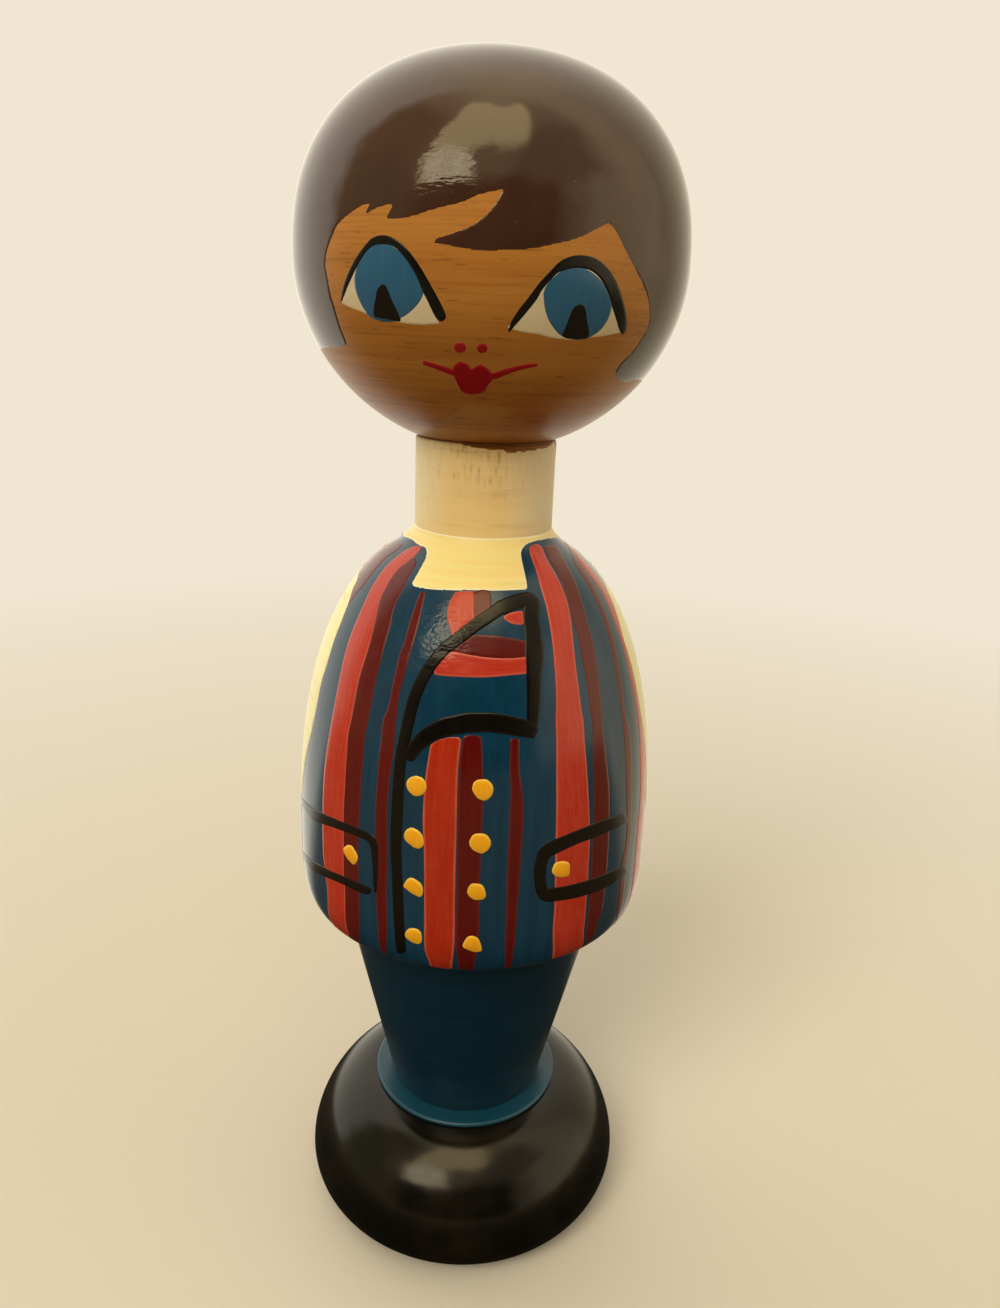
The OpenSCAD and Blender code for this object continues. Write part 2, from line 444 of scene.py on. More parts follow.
def drawn_line(name, surface, paint, rows, lift, first=1.0, onward=None):
    """A brush line drawn over the photograph, from rows of across, down and width in pixels:
    its two edges lie beside the path there, and are then found on the surface. It can run
    onward, narrowing to a round end, to a point out of sight in degrees and millimetres."""
    curve = smooth_curve(rows, LINE_SAMPLES, 1)
    middle, half = curve[:, :2], curve[:, 2] / 2
    share = rounded_ends(middle, half, first, 1.0 if onward is None else 0)
    if onward is not None:
        share[-1] = 1
    left, right = (surface.seen(edge) for edge in beside(middle, half * share))
    if onward is not None:
        end = surface.placed([onward])[0]
        share = np.linspace(0, 1, ONWARD_SAMPLES)[1:, None]
        close = (1 - ONWARD_TAPER * share) * np.sqrt(1 - share ** 4)
        offset = (right[-1] - left[-1]) / 2
        path = (left[-1] + right[-1]) / 2 * (1 - share) + end * share
        left = np.vstack([left, path - offset * close])
        right = np.vstack([right, path + offset * close])
    return film(name, surface, paint, left, right, lift)


def band(name, surface, paint, left, right, lift):
    """A stripe between two given edges, rows of turn and length, with its ends rounded."""
    left, right = smooth_curve(left, BAND_SAMPLES), smooth_curve(right, BAND_SAMPLES)
    middle, half = (left + right) / 2, (right - left) / 2
    scale = surface.scale(middle)
    width = np.linalg.norm(half * scale, axis=1)
    half = half * rounded_ends(middle * scale, width, BAND_ROUNDING, BAND_ROUNDING)[:, None]
    return film(name, surface, paint, middle - half, middle + half, lift)


def blob(name, surface, paint, outline, lift, rings=14, dome=0.0, points=97):
    """A closed spot of paint: rays from its middle to each point of its outline, over the top
    with the given lift and dome, and back underneath. The dome is a paraboloid."""
    outline = smooth_curve(np.vstack([outline, outline[:1]]), points)
    middle = (outline.max(0) + outline.min(0)) / 2
    share = np.append(np.linspace(0, LAST_RING, rings), 1)
    share = np.concatenate([share, share[-2::-1]])
    over = np.arange(len(share)) <= rings
    spot = middle + (outline - middle)[:, None] * share[None, :, None]
    scale = surface.scale(middle)
    reach = np.linalg.norm((outline - middle) * scale, axis=1)[:, None]
    inset = reach * (1 - share)
    thickness = lift + SUNK + dome * (1 - share ** 2)
    height = np.where(over, quarter_round(inset, RIM) * thickness, 0) - SUNK
    places = surface.at(spot[..., 0], spot[..., 1], height)
    return lattice(name, surface, paint, places, (spot - middle) * scale / MM, inset / MM)


def signed_distance(points, outline):
    """Distance from each point to a closed outline, positive inside, and the nearest point on
    it: the least over its straight pieces, with the side from how often a level line to the
    right crosses them."""
    best = np.full(len(points), np.inf)
    nearest = np.zeros_like(points)
    inside = np.zeros(len(points), bool)
    for a, b in zip(outline, np.roll(outline, -1, 0)):
        piece = b - a
        share = np.clip((points - a) @ piece / (piece @ piece), 0, 1)
        foot = a + share[:, None] * piece
        gap = np.linalg.norm(points - foot, axis=1)
        closer = gap < best
        best[closer] = gap[closer]
        nearest[closer] = foot[closer]
        if a[1] != b[1]:
            level = (a[1] > points[:, 1]) != (b[1] > points[:, 1])
            crossing = a[0] + (points[:, 1] - a[1]) / piece[1] * piece[0]
            inside ^= level & (points[:, 0] < crossing)
    return np.where(inside, best, -best), nearest


# How far outside the outline the middle of a face may lie where all its points are on it
RIM_SLACK = 0.02 * MM


def filled(name, surface, paint, outline, turns, alongs, lift):
    """A closed film of any outline, on a grid of turns and lengths. Grid points within half a
    cell of the outline move onto it, cells with three or four points on or inside it are kept,
    and the film is closed by the same cells underneath, sunk in the wood."""
    scale = np.array([surface.scale(outline)[:, 0].max(), 1.0])
    edge = outline * scale
    edge = edge[np.linalg.norm(edge - np.roll(edge, 1, 0), axis=1) > WELD]
    grid = np.stack(np.meshgrid(turns, alongs, indexing="ij"), -1)
    flat = grid.reshape(-1, 2) * scale
    distance, nearest = signed_distance(flat, edge)
    cell = np.sqrt(np.gradient(turns)[:, None] * scale[0] * np.gradient(alongs)[None]).ravel()
    snapped = np.abs(distance) < cell / 2
    flat = np.where(snapped[:, None], nearest, flat)
    quads = grid_cells(grid.shape)
    held = (snapped | (distance > 0))[quads]
    whole = quads[held.all(1)]
    thirds = [whole[:, [0, 1, 2]], whole[:, [0, 2, 3]]]
    for lost in range(4):
        partial = quads[(held.sum(1) == 3) & ~held[:, lost]]
        thirds.append(np.delete(partial, lost, 1))
    faces = np.concatenate(thirds)
    rim_faces = snapped[faces].all(1)
    centre, _ = signed_distance(flat[faces[rim_faces]].mean(1), edge)
    good = np.ones(len(faces), bool)
    good[rim_faces] = centre > -RIM_SLACK
    used, faces = np.unique(faces[good], return_inverse=True)
    faces = faces.reshape(-1, 3)
    faces = np.concatenate([faces, faces[:, ::-1] + len(used)])
    depth = np.where(snapped, 0, distance)[used]
    turn, along = (flat[used] / scale).T
    top = surface.at(turn, along, quarter_round(depth, RIM) * (lift + SUNK) - SUNK)
    places = np.concatenate([top, surface.at(turn, along, -SUNK)])
    marks = np.tile(flat[used] / MM, (2, 1))
    return mesh_piece(name, surface, paint, places, marks, np.tile(depth / MM, 2), faces)


class Shader:
    """Short calls for building the nodes of a material or of the world."""

    def __init__(self, owner):
        owner.use_nodes = True
        self.owner = owner
        self.tree = owner.node_tree

    @cached_property
    def surface(self):
        return self.tree.nodes["Principled BSDF"]

    @cached_property
    def place(self):
        return self.node("TexCoord").outputs["Object"]

    @cached_property
    def parts(self):
        return self.node("SeparateXYZ", {0: self.place}).outputs

    @cached_property
    def inset(self):
        return self.node("Attribute", attribute_name="inset").outputs["Fac"]

    def node(self, kind, inputs=None, **settings):
        node = self.tree.nodes.new("ShaderNode" + kind)
        for key, value in settings.items():
            setattr(node, key, value)
        for key, value in (inputs or {}).items():
            self.put(node.inputs[key], value)
        return node

    def put(self, socket, value):
        if isinstance(value, bpy.types.NodeSocket):
            self.tree.links.new(value, socket)
        elif isinstance(value, tuple) and len(value) == 3 and socket.type == "RGBA":
            socket.default_value = (*value, 1)
        else:
            socket.default_value = value

    def noise(self, scale, size=1.0, detail=4.0, roughness=0.55, move=(0, 0, 0), source=None):
        """Noise that is stretched by a scale along each axis, in waves per metre or map unit,
        over the object's own coordinates or another source."""
        source = self.place if source is None else source
        mapped = self.node("Mapping", {"Vector": source, "Scale": scale, "Location": move})
        made = self.node("TexNoise", {"Vector": mapped.outputs[0], "Scale": size,
                                      "Detail": detail, "Roughness": roughness})
        return made.outputs["Fac"]

    def ramp(self, value, low, high, start=0.0, end=1.0):
        """The value brought from one range to another, held at the ends."""
        made = self.node("MapRange", {"Value": value, "From Min": low, "From Max": high,
                                      "To Min": start, "To Max": end})
        return made.outputs[0]

    def mix(self, share, first, second):
        made = self.node("Mix", data_type="RGBA")
        for place, value in ((0, share), (6, first), (7, second)):
            self.put(made.inputs[place], value)
        return made.outputs[2]

    def layer(self, below, colour, value, low, high, most=1.0):
        """A screen colour over another colour, which covers it by up to the most as the value
        goes from low to high."""
        below = srgb(*below) if isinstance(below, tuple) else below
        return self.mix(self.ramp(value, low, high, 0, most), below, srgb(*colour))

    def math(self, operation, *values):
        return self.node("Math", dict(enumerate(values)), operation=operation).outputs[0]

    def times(self, first, second):
        return self.math("MULTIPLY", first, second)

    def plus(self, first, second):
        return self.math("ADD", first, second)

    def bump(self, height, distance, strength=1.0, below=None):
        inputs = {"Height": height, "Distance": distance, "Strength": strength}
        if below is not None:
            inputs["Normal"] = below
        return self.node("Bump", inputs).outputs[0]

    def ripples(self, centre, reach, scale, depth, below):
        """Ripples of thick paint round a centre, which die away at a distance from it."""
        away = self.node("VectorMath", {0: self.place, 1: centre}, operation="DISTANCE")
        share = self.ramp(away.outputs["Value"], reach, reach * 0.15)
        wave = self.noise(scale, detail=3, roughness=0.6)
        return self.bump(self.times(wave, share), depth, 1.0, below)

    def lapel_ripples(self, below):
        return self.ripples(WRINKLED_LAPEL, 7 * MM, (380, 380, 640), 0.4 * MM, below)

    def finish(self, colour, roughness, normal=None, gloss=0.5):
        for name, value in (("Base Color", colour), ("Roughness", roughness),
                            ("Specular IOR Level", gloss), ("Normal", normal)):
            if value is not None:
                self.put(self.surface.inputs[name], value)
        return self.owner


def new_material(name):
    return Shader(bpy.data.materials.new(name))


def srgb(red, green, blue):
    """A colour given as 0 to 255 screen values, made linear."""
    value = np.array([red, green, blue]) / 255
    linear = np.where(value <= 0.04045, value / 12.92, ((value + 0.055) / 1.055) ** 2.4)
    return tuple(float(v) for v in linear)


# Middles of the two places where the paint is thick and wrinkled
WRINKLED_LAPEL = tuple(TORSO.at(*TORSO.seen([(445, 630)])[0]))
WRINKLED_HAIR = tuple(HEAD.at(*HEAD.seen([(447, 168)])[0]))

# How far the rim of brushed enamel reaches in, in millimetres, and the range of its roughness
ENAMEL_RIM = 0.5
ENAMEL_ROUGHNESS = (0.15, 0.26)


def brushed_paint(name, colour, streak, edge, streaked=0.6, mottled=0.18, gloss=0.4):
    """Enamel laid with a brush: streaks along the stroke, a mottled thickness, and a rim of
    another shade. Streaks and mottling cover up to the given shares."""
    s = new_material(name)
    marks = s.node("UVMap", uv_map="brush").outputs[0]
    fine = s.noise((2.6, 0.16, 1), detail=5, source=marks)
    broad = s.noise((0.9, 0.07, 1), detail=2, move=(3, 7, 0), source=marks)
    mottle = s.noise((1, 1, 1), size=420, detail=3)
    body = s.layer(colour, streak, s.plus(fine, broad), 0.8, 1.25, streaked)
    body = s.layer(body, edge, mottle, 0.35, 0.75, mottled)
    wobble = s.plus(s.inset, s.ramp(fine, 0.3, 0.7, -0.12, 0.12))
    body = s.layer(body, edge, wobble, ENAMEL_RIM, ENAMEL_RIM * 0.35, 0.75)
    ridges = s.bump(fine, 0.02 * MM, 0.7)
    grain = s.bump(s.noise((1, 1, 1), size=1500, detail=2), 0.006 * MM, 0.5, ridges)
    roughness = s.ramp(mottle, 0.3, 0.7, *ENAMEL_ROUGHNESS)
    return s.finish(body, roughness, s.lapel_ripples(grain), gloss)


def jacket_blue():
    """Blue enamel on the turned torso: upright brush streaks, thin patches and fine specks."""
    s = new_material("jacket blue")
    streaks = s.noise((600, 600, 26), detail=5)
    clouds = s.noise((90, 90, 40), detail=3)
    specks = s.noise((1, 1, 1), size=2400, detail=1)
    body = s.layer((8, 53, 74), (18, 63, 86), streaks, 0.35, 0.7)
    body = s.layer(body, (10, 46, 64), clouds, 0.4, 0.75, 0.5)
    body = s.layer(body, (50, 84, 98), specks, 0.68, 0.76, 0.3)
    normal = s.lapel_ripples(s.bump(streaks, 0.02 * MM, 0.5))
    return s.finish(body, s.ramp(clouds, 0.3, 0.7, 0.14, 0.22), normal, 0.45)


def trouser_blue():
    """Darker blue enamel on the legs, laid round the cone, satin, with a paler hem that is painted
    light: the hem's upward face lit from above.
    """
    s = new_material("trouser blue")
    rings = s.noise((50, 50, 700), detail=4)
    clouds = s.noise((120, 120, 60), detail=3)
    body = s.layer((2, 40, 56), (8, 50, 68), rings, 0.35, 0.7)
    body = s.layer(body, (4, 44, 60), clouds, 0.4, 0.75, 0.5)
    # Painted light: the hem is painted paler for its upward face, which catches the light from
    # above.
    hem_top = (LEGS_Z + HEM_T + 0.25) * MM
    body = s.layer(body, (20, 68, 84), s.parts["Z"], hem_top, hem_top - 0.3 * MM)
    ridges = s.bump(rings, 0.01 * MM, 0.5)
    return s.finish(body, s.ramp(clouds, 0.3, 0.7, 0.29, 0.36), ridges)


def base_black():
    """Black enamel on the turned base, glossy, with faint lathe rings and brown rubbed patches."""
    s = new_material("base black")
    rings = s.noise((60, 60, 900), detail=4)
    clouds = s.noise((1, 1, 1), size=110, detail=4)
    body = s.layer((12, 10, 6), (34, 27, 14), clouds, 0.45, 0.75, 0.8)
    ridges = s.bump(rings, 0.012 * MM, 0.5)
    return s.finish(body, s.ramp(clouds, 0.3, 0.7, 0.14, 0.2), ridges, 0.36)


def varnished_wood():
    """Amber varnish over turned wood: fine lathe lines round the head, paler and darker growth
    bands, small pores, and a tone that deepens low on the head: partly varnish that gathered on
    the cheeks, partly painted shade low and painted light high, for light that falls from above."""
    s = new_material("varnished wood")
    lathe = s.noise((30, 30, 1500), detail=6, roughness=0.7)
    bands = s.noise((22, 22, 260), detail=3)
    pores = s.noise((260, 260, 2600), detail=2, move=(5, 1, 2))
    # Darker low and paler high on the head: partly varnish that gathered low, partly painted shade
    # and painted light for light from above.
    body = s.layer((148, 88, 28), (196, 128, 52), s.parts["Z"], 160 * MM, 200 * MM)
    body = s.layer(body, (206, 142, 62), bands, 0.35, 0.7, 0.5)
    body = s.layer(body, (120, 66, 20), lathe, 0.5, 0.7, 0.45)
    body = s.layer(body, (96, 52, 18), pores, 0.62, 0.72, 0.5)
    ridges = s.bump(lathe, 0.015 * MM, 0.5)
    return s.finish(body, s.ramp(bands, 0.3, 0.7, 0.29, 0.37), ridges, 0.2)


def hair_brown():
    """Dark brown enamel with a high gloss, fine brush drag and a few dust specks."""
    s = new_material("hair brown")
    drag = s.noise((300, 300, 60), detail=5)
    clouds = s.noise((1, 1, 1), size=70, detail=3)
    specks = s.noise((1, 1, 1), size=1100, detail=1)
    body = s.layer((68, 42, 27), (80, 50, 34), drag, 0.35, 0.7, 0.6)
    body = s.layer(body, (58, 36, 24), clouds, 0.4, 0.7, 0.6)
    body = s.layer(body, (140, 118, 96), specks, 0.78, 0.82, 0.5)
    ridges = s.bump(drag, 0.012 * MM, 0.5, s.bump(clouds, 0.08 * MM, 0.5))
    normal = s.ripples(WRINKLED_HAIR, 8 * MM, (200, 200, 480), 0.15 * MM, ridges)
    return s.finish(body, s.ramp(clouds, 0.3, 0.7, 0.07, 0.12), normal)


def neck_cream():
    """Thin matte cream paint over wood: short upright dabs round the top and down the doll's
    right side, soft level grain that shows through, paler sides and a deeper foot. The paler sides
    are painted light from the sides and the wall behind, and the pale dabs down the doll's right
    side are partly painted light too."""
    s = new_material("neck cream")
    height, across = s.parts["Z"], s.parts["X"]
    brush = s.noise((60, 60, 700), detail=5)
    grain = s.noise((26, 26, 480), detail=3, move=(1, 4, 2))
    dabs = s.noise((1300, 1300, 340), detail=3)
    # The dabs run down the doll's right side, where more light falls: their pale part is partly
    # painted light.
    side = s.ramp(across, -5 * MM, -10 * MM)
    top = s.ramp(height, (NECK_TOP_Z - 10) * MM, (NECK_TOP_Z - 4) * MM)
    dabbed = s.math("MAXIMUM", side, top)
    body = s.layer((252, 212, 136), (255, 222, 152), brush, 0.3, 0.7)
    body = s.layer(body, (190, 142, 80), grain, 0.56, 0.72, 0.55)
    body = s.mix(s.times(dabbed, s.ramp(dabs, 0.5, 0.66, 0, 0.6)), body, srgb(255, 234, 176))
    body = s.mix(s.times(dabbed, s.ramp(dabs, 0.42, 0.32, 0, 0.5)), body, srgb(186, 140, 82))
    # Painted light: the neck's sides are painted paler, for the light from the sides and the wall
    # behind.
    painted_sidelight_reach = s.math("ABSOLUTE", across)
    body = s.layer(body, (255, 238, 190), painted_sidelight_reach, 4 * MM, 11.5 * MM, 0.9)
    body = s.layer(body, (250, 216, 142), height, (NECK_Z + 6) * MM, (NECK_Z + 2) * MM, 0.5)
    ridges = s.bump(brush, 0.03 * MM, 0.5)
    lumps = s.bump(s.times(dabbed, dabs), 0.1 * MM, 0.6, ridges)
    return s.finish(body, s.ramp(brush, 0.3, 0.7, 0.5, 0.65), lumps, 0.3)


def cream_enamel(name, deep, pale):
    """Cream enamel laid across, thin enough for faint grain lines to show, paler at its rim."""
    s = new_material(name)
    brush = s.noise((40, 40, 900), detail=5)
    grain = s.noise((34, 34, 420), detail=2, move=(2, 3, 1))
    body = s.layer(deep, pale, brush, 0.3, 0.7)
    body = s.layer(body, (190, 148, 80), grain, 0.62, 0.72, 0.3)
    body = s.layer(body, (255, 246, 206), s.inset, 0.45, 0.15, 0.8)
    return s.finish(body, 0.34, s.bump(brush, 0.03 * MM, 0.6), 0.35)


def bare_wood():
    s = new_material("bare wood")
    grain = s.noise((900, 900, 40), detail=4)
    body = s.layer((214, 176, 120), (188, 144, 88), grain, 0.35, 0.7)
    return s.finish(body, 0.6, s.bump(grain, 0.02 * MM, 0.5))


# Every paint as its slot name and its material
WOOD = "varnished_wood", varnished_wood()
HAIR = "hair_paint", hair_brown()
JACKET = "jacket_paint", jacket_blue()
TROUSERS = "trouser_paint", trouser_blue()
BASE_BLACK = "base_paint", base_black()
NECK_CREAM = "cream_paint", neck_cream()
SHIRT = "cream_paint", cream_enamel("shirt cream", (255, 222, 134), (255, 236, 152))
SLEEVES = "cream_paint", cream_enamel("sleeve cream", (255, 238, 160), (255, 248, 182))
BLACK = "black_paint", brushed_paint(
    "black enamel", (12, 8, 5), (22, 17, 11), (18, 15, 11), 0.5, gloss=0.3)
CORAL = "coral_paint", brushed_paint(
    "coral enamel", (186, 42, 20), (206, 70, 44), (216, 104, 78), mottled=0.1)
DEEP_CORAL = "coral_paint", brushed_paint(
    "deep coral enamel", (176, 38, 10), (196, 58, 26), (214, 104, 70), mottled=0.08)
MAROON = "maroon_paint", brushed_paint(
    "maroon enamel", (90, 7, 4), (106, 18, 13), (104, 32, 28), 0.5)
YELLOW = "yellow_paint", brushed_paint(
    "yellow enamel", (252, 168, 14), (255, 184, 30), (255, 204, 72))
RED = "red_paint", brushed_paint("red enamel", (150, 8, 16), (170, 14, 24), (165, 16, 26), 0.5)
EYE_WHITE = "eye_white_paint", brushed_paint(
    "eye white enamel", (226, 206, 160), (236, 218, 176), (216, 192, 142))
EYE_BLUE = "eye_blue_paint", brushed_paint(
    "eye blue enamel", (44, 96, 126), (52, 106, 136), (40, 88, 116), 0.5)


# Faces round each turned piece, and an inset in millimetres that is deeper than any rim
TURNED_COLUMNS = 320
NO_RIM = 5.0


def turned_pieces():
    """The five turned pieces that show, each standing for its CAD node: the rows of the outline
    carried round the axis. The brush map is in millimetres round and along."""
    for name, surface, paint in (("base", BASE, BASE_BLACK), ("legs", LEGS, TROUSERS),
                                 ("torso", TORSO, JACKET), ("neck", NECK, NECK_CREAM),
                                 ("head", HEAD, WOOD)):
        turns = np.linspace(-np.pi, np.pi, TURNED_COLUMNS + 1)
        spot = np.stack(np.meshgrid(turns, surface.rows, indexing="ij"), -1)
        marks = spot * surface.scale(spot) / MM
        piece = lattice("turned_" + name, surface, paint, surface.at(spot[..., 0], spot[..., 1]),
                        marks, np.full(spot.shape[:2], NO_RIM))
        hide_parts(name)


def bare_dowels():
    """The hidden dowels keep their CAD shapes and get bare wood."""
    finish = bare_wood()
    for name in ("foot_dowel", "waist_dowel", "neck_dowel"):
        mesh = frame["nodes"][name].data
        mesh.materials.clear()
        mesh.materials.append(finish)


# Heights of the paint above the wood. Lines that cross others lie an undercut higher.
UNDER_LIFT = 0.04 * MM
STRIPE_LIFT = 0.05 * MM
CORAL_LIFT = 0.065 * MM
CREAM_LIFT = 0.08 * MM
LINE_LIFT = 0.11 * MM
SLEEVE_LIFT = 0.12 * MM
BUTTON_LIFT = 0.14 * MM
BUTTON_DOME = 0.22 * MM
UNDERCUT = 0.008 * MM

# Hairline in pixels of the photograph with the number of samples of each run between its sharp
# points, from the lower end of the doll's right lock over the forehead to that of its left lock
HAIRLINE_PX = (
    (60, [(347, 349), (346, 340), (341.5, 329.5), (336.5, 312.5), (331, 293), (327.5, 275.5),
          (326, 264.5), (327.5, 251.5), (332, 238.5), (337.5, 226.5), (344, 219), (352.5, 212.5),
          (360, 207.5), (369, 204)]),
    (36, [(369, 204), (365, 212), (359, 221), (368, 214), (376, 209), (391, 205.5), (388, 213),
          (384, 219.5)]),
    (40, [(384, 219.5), (393.5, 220), (404.5, 218.5), (415.5, 216), (428.5, 211.5), (441.5, 208),
          (454.5, 205), (467.5, 200.5), (480.5, 195), (491.5, 192.5), (502, 190.5)]),
    (36, [(502, 190.5), (498, 198.5), (491.5, 208), (482.5, 217), (472, 224.5), (459, 230),
          (448, 234), (437, 237.5), (428, 242)]),
    (60, [(428, 242), (441.5, 245), (454.5, 247.5), (467.5, 250), (480.5, 251), (493.5, 251.5),
          (504.5, 251), (521.5, 250.5), (537, 248.5), (554, 245), (569.5, 241.5), (582.5, 237),
          (595.5, 230.5), (608.5, 223.5)]),
    (60, [(608.5, 223.5), (614, 229), (619, 238.5), (625.5, 251.5), (633.5, 266.5), (641, 282),
          (647, 297), (649, 310), (647.5, 325.5), (641, 338.5), (632.5, 351.5), (623.5, 360),
          (618, 366.5), (615, 373)]),
    (12, [(615, 373), (617, 379.5), (623, 382), (632, 382)]))

# The lower edge of the hair round the back, as degrees of turn and millimetres of height
RIGHT_BACK_EDGE = [
    (-200, 171.5), (-170, 171.5), (-140, 172), (-110, 173), (-85, 174), (-64, 174.8)]
LEFT_BACK_EDGE = [(66, 172), (90, 171.5), (120, 171), (150, 171.2), (175, 171.5), (200, 171.5)]

# The grid that the hair is cut from: steps in degrees in front, out to a turn, and behind, and
# fine steps in millimetres between two heights, with rows from there over the crown
HAIR_FRONT_STEP, HAIR_FRONT_TO, HAIR_BACK_STEP = 0.6, 78, 1.2
HAIR_STEP = 0.36 * MM
HAIR_FINE_Z = (169, 199)
HAIR_CROWN_ROWS = 34


def hair():
    """The painted hair: a cap with its parting, fringe and side locks."""
    edge = [smooth_curve(HEAD.placed(RIGHT_BACK_EDGE), 30)]
    edge += [smooth_curve(HEAD.seen(pixels), count)[1:] for count, pixels in HAIRLINE_PX]
    edge += [smooth_curve(HEAD.placed(LEFT_BACK_EDGE), 30)]
    top = HEAD.s[-1] + 5 * MM
    edge.append([(np.radians(200), top), (np.radians(-200), top)])
    front = np.radians(np.arange(-HAIR_FRONT_TO, HAIR_FRONT_TO + 0.1, HAIR_FRONT_STEP))
    back = np.radians(np.arange(HAIR_FRONT_TO + HAIR_BACK_STEP, 360 - HAIR_FRONT_TO,
                                HAIR_BACK_STEP))
    turns = np.concatenate([back[back > np.pi] - 2 * np.pi, front, back[back <= np.pi], [np.pi]])
    fine_from, fine_to = HEAD.along(HAIR_FINE_Z)
    alongs = np.concatenate([np.arange(fine_from, fine_to, HAIR_STEP),
                             np.linspace(fine_to, HEAD.s[-1], HAIR_CROWN_ROWS)])
    filled("hair", HEAD, HAIR, np.concatenate(edge), turns, alongs, STRIPE_LIFT)


# The eyes in pixels. The white and the lid line, a crescent, lie between two edges from corner
# to corner. The iris and the pupil are outlines.
EYES_PX = {
    "right": {
        "white": (
            [(341, 303), (347, 286), (355, 266), (366, 249), (382, 241), (397, 246), (411, 262),
             (423, 283), (433, 304), (439.5, 324)],
            [(341, 303), (350.5, 308), (360, 311.5), (370, 315.5), (383, 320), (396, 322),
             (407, 324), (422, 325), (432, 324.5), (439.5, 324)]),
        "iris": [
            (353.5, 277.5), (354.5, 288.5), (359, 301.5), (365.5, 312.5), (373, 319), (385, 322),
            (396, 321.5), (406.5, 316.5), (415.5, 309), (422, 300.5), (425, 290.5), (421, 277),
            (412, 262), (400, 250), (388, 242.5), (375, 243), (364, 252), (357, 264)],
        "pupil": [
            (382, 282.5), (377, 288), (374.5, 300), (373, 310), (374, 317), (380, 319.5),
            (388, 320.5), (396, 321.5), (401.5, 321), (399, 312.5), (394, 301.5), (389.5, 290.5),
            (386, 284)],
        "lid": (
            [(340.5, 302), (342.5, 288.5), (347, 275.5), (354.5, 260), (363.5, 247), (372, 238),
             (382, 235), (391.5, 237), (402.5, 244), (413, 256), (423, 271), (431.5, 286),
             (439.5, 300.5), (445, 312), (446, 318), (441.5, 321.5)],
            [(342.5, 301), (346, 292.5), (352.5, 277.5), (359, 264.5), (366.5, 252.5), (374, 246),
             (383, 245), (391.5, 246), (400, 252.5), (409, 264.5), (416.5, 277.5), (422, 290.5),
             (427.5, 301.5), (432.5, 312), (437, 319.5), (441.5, 321.5)])},
    "left": {
        "white": (
            [(507, 328), (517, 316), (531, 298), (546, 279), (562, 266), (580, 261), (598, 268),
             (610, 285), (617, 308), (621, 333)],
            [(507, 328), (513, 330), (526, 333), (539, 335), (550, 338), (562, 339.5), (576, 340),
             (590, 338), (605, 336), (621, 333)]),
        "iris": [
            (542, 293), (543, 306), (546.5, 319), (553, 329.5), (561, 337), (576, 340), (589, 338),
            (599.5, 332), (607.5, 322), (611.5, 312), (612.5, 303), (609, 291), (602, 280),
            (592, 271), (578, 265), (564, 268), (552, 277), (545, 285)],
        "pupil": [
            (579, 302.5), (572.5, 307), (568, 317), (564, 327.5), (561, 335), (565, 338.5),
            (576, 339.5), (585, 339), (589, 337), (589.5, 331.5), (588, 321), (586.5, 310),
            (583.5, 304)],
        "lid": (
            [(508, 331), (511, 322), (518.5, 310), (528, 298), (539, 283), (550, 271),
             (559.5, 261.5), (569.5, 256.5), (579, 255), (589, 256), (598.5, 260), (608.5, 269),
             (616, 281), (621.5, 295), (625.5, 310), (627, 323), (626, 331.5), (622.5, 334.5)],
            [(510, 331.5), (519.5, 321), (528, 311), (537, 299.5), (542, 290.5), (550, 281),
             (558.5, 273), (568.5, 269.5), (578, 268.5), (588, 270), (596.5, 275.5), (603, 284),
             (608.5, 297), (612.5, 310), (616, 321), (619, 330.5), (622.5, 334.5)])}}


def eyes():
    """Each eye in the order that it was painted: white, iris, pupil and lid line."""
    for side, eye in EYES_PX.items():
        white = [smooth_curve(HEAD.seen(edge), WHITE_SAMPLES) for edge in eye["white"]]
        film(side + "_eye_white", HEAD, EYE_WHITE, *white, UNDER_LIFT, 30)
        blob(side + "_iris", HEAD, EYE_BLUE, HEAD.seen(eye["iris"]), CORAL_LIFT)
        blob(side + "_pupil", HEAD, BLACK, HEAD.seen(eye["pupil"]), CREAM_LIFT)
        lid = [smooth_curve(HEAD.seen(edge), LINE_SAMPLES) for edge in eye["lid"]]
        film(side + "_lid_line", HEAD, BLACK, *lid, LINE_LIFT)


# The nose and mouth in pixels: the middle and half axes of each nostril, the outline of the
# lips, and the smile lines, whose widths come last
NOSTRILS_PX = {"right": (460, 347.6, 6.3, 5.2), "left": (482.3, 348.3, 5.6, 4.8)}
LIPS_PX = [
    (452.5, 368.5), (454.5, 364.5), (460, 361.5), (467.5, 364), (471.8, 368.5), (479.5, 364.5),
    (486, 367), (491.5, 372), (493.5, 377.5), (488, 386), (482.5, 393.5), (474, 395.7),
    (464, 393.5), (457.5, 386), (454, 377.5)]
SMILES_PX = {
    "right": [(422.5, 362.5, 5.6), (434, 366, 6.4), (444, 369.5, 7.2), (458, 374, 8)],
    "left": [(538, 364.7, 3.8), (524, 366.8, 5.2), (510, 370.5, 6.6), (496, 375.5, 8),
             (486, 378, 8)]}
PX_ON_FACE = 0.152 * MM


def nose_and_mouth():
    angle = np.linspace(0, 2 * np.pi, 12, endpoint=False)
    for side, (across, down, wide, high) in NOSTRILS_PX.items():
        ring = np.stack([across + wide * np.cos(angle), down + high * np.sin(angle)], 1)
        blob(side + "_nostril", HEAD, RED, HEAD.seen(ring), CREAM_LIFT)
    blob("lips", HEAD, RED, HEAD.seen(LIPS_PX), CREAM_LIFT)
    for side, rows in SMILES_PX.items():
        rows = np.array(rows)
        stroke(side + "_smile_line", HEAD, RED, HEAD.seen(rows[:, :2]), rows[:, 2] * PX_ON_FACE,
               CORAL_LIFT)


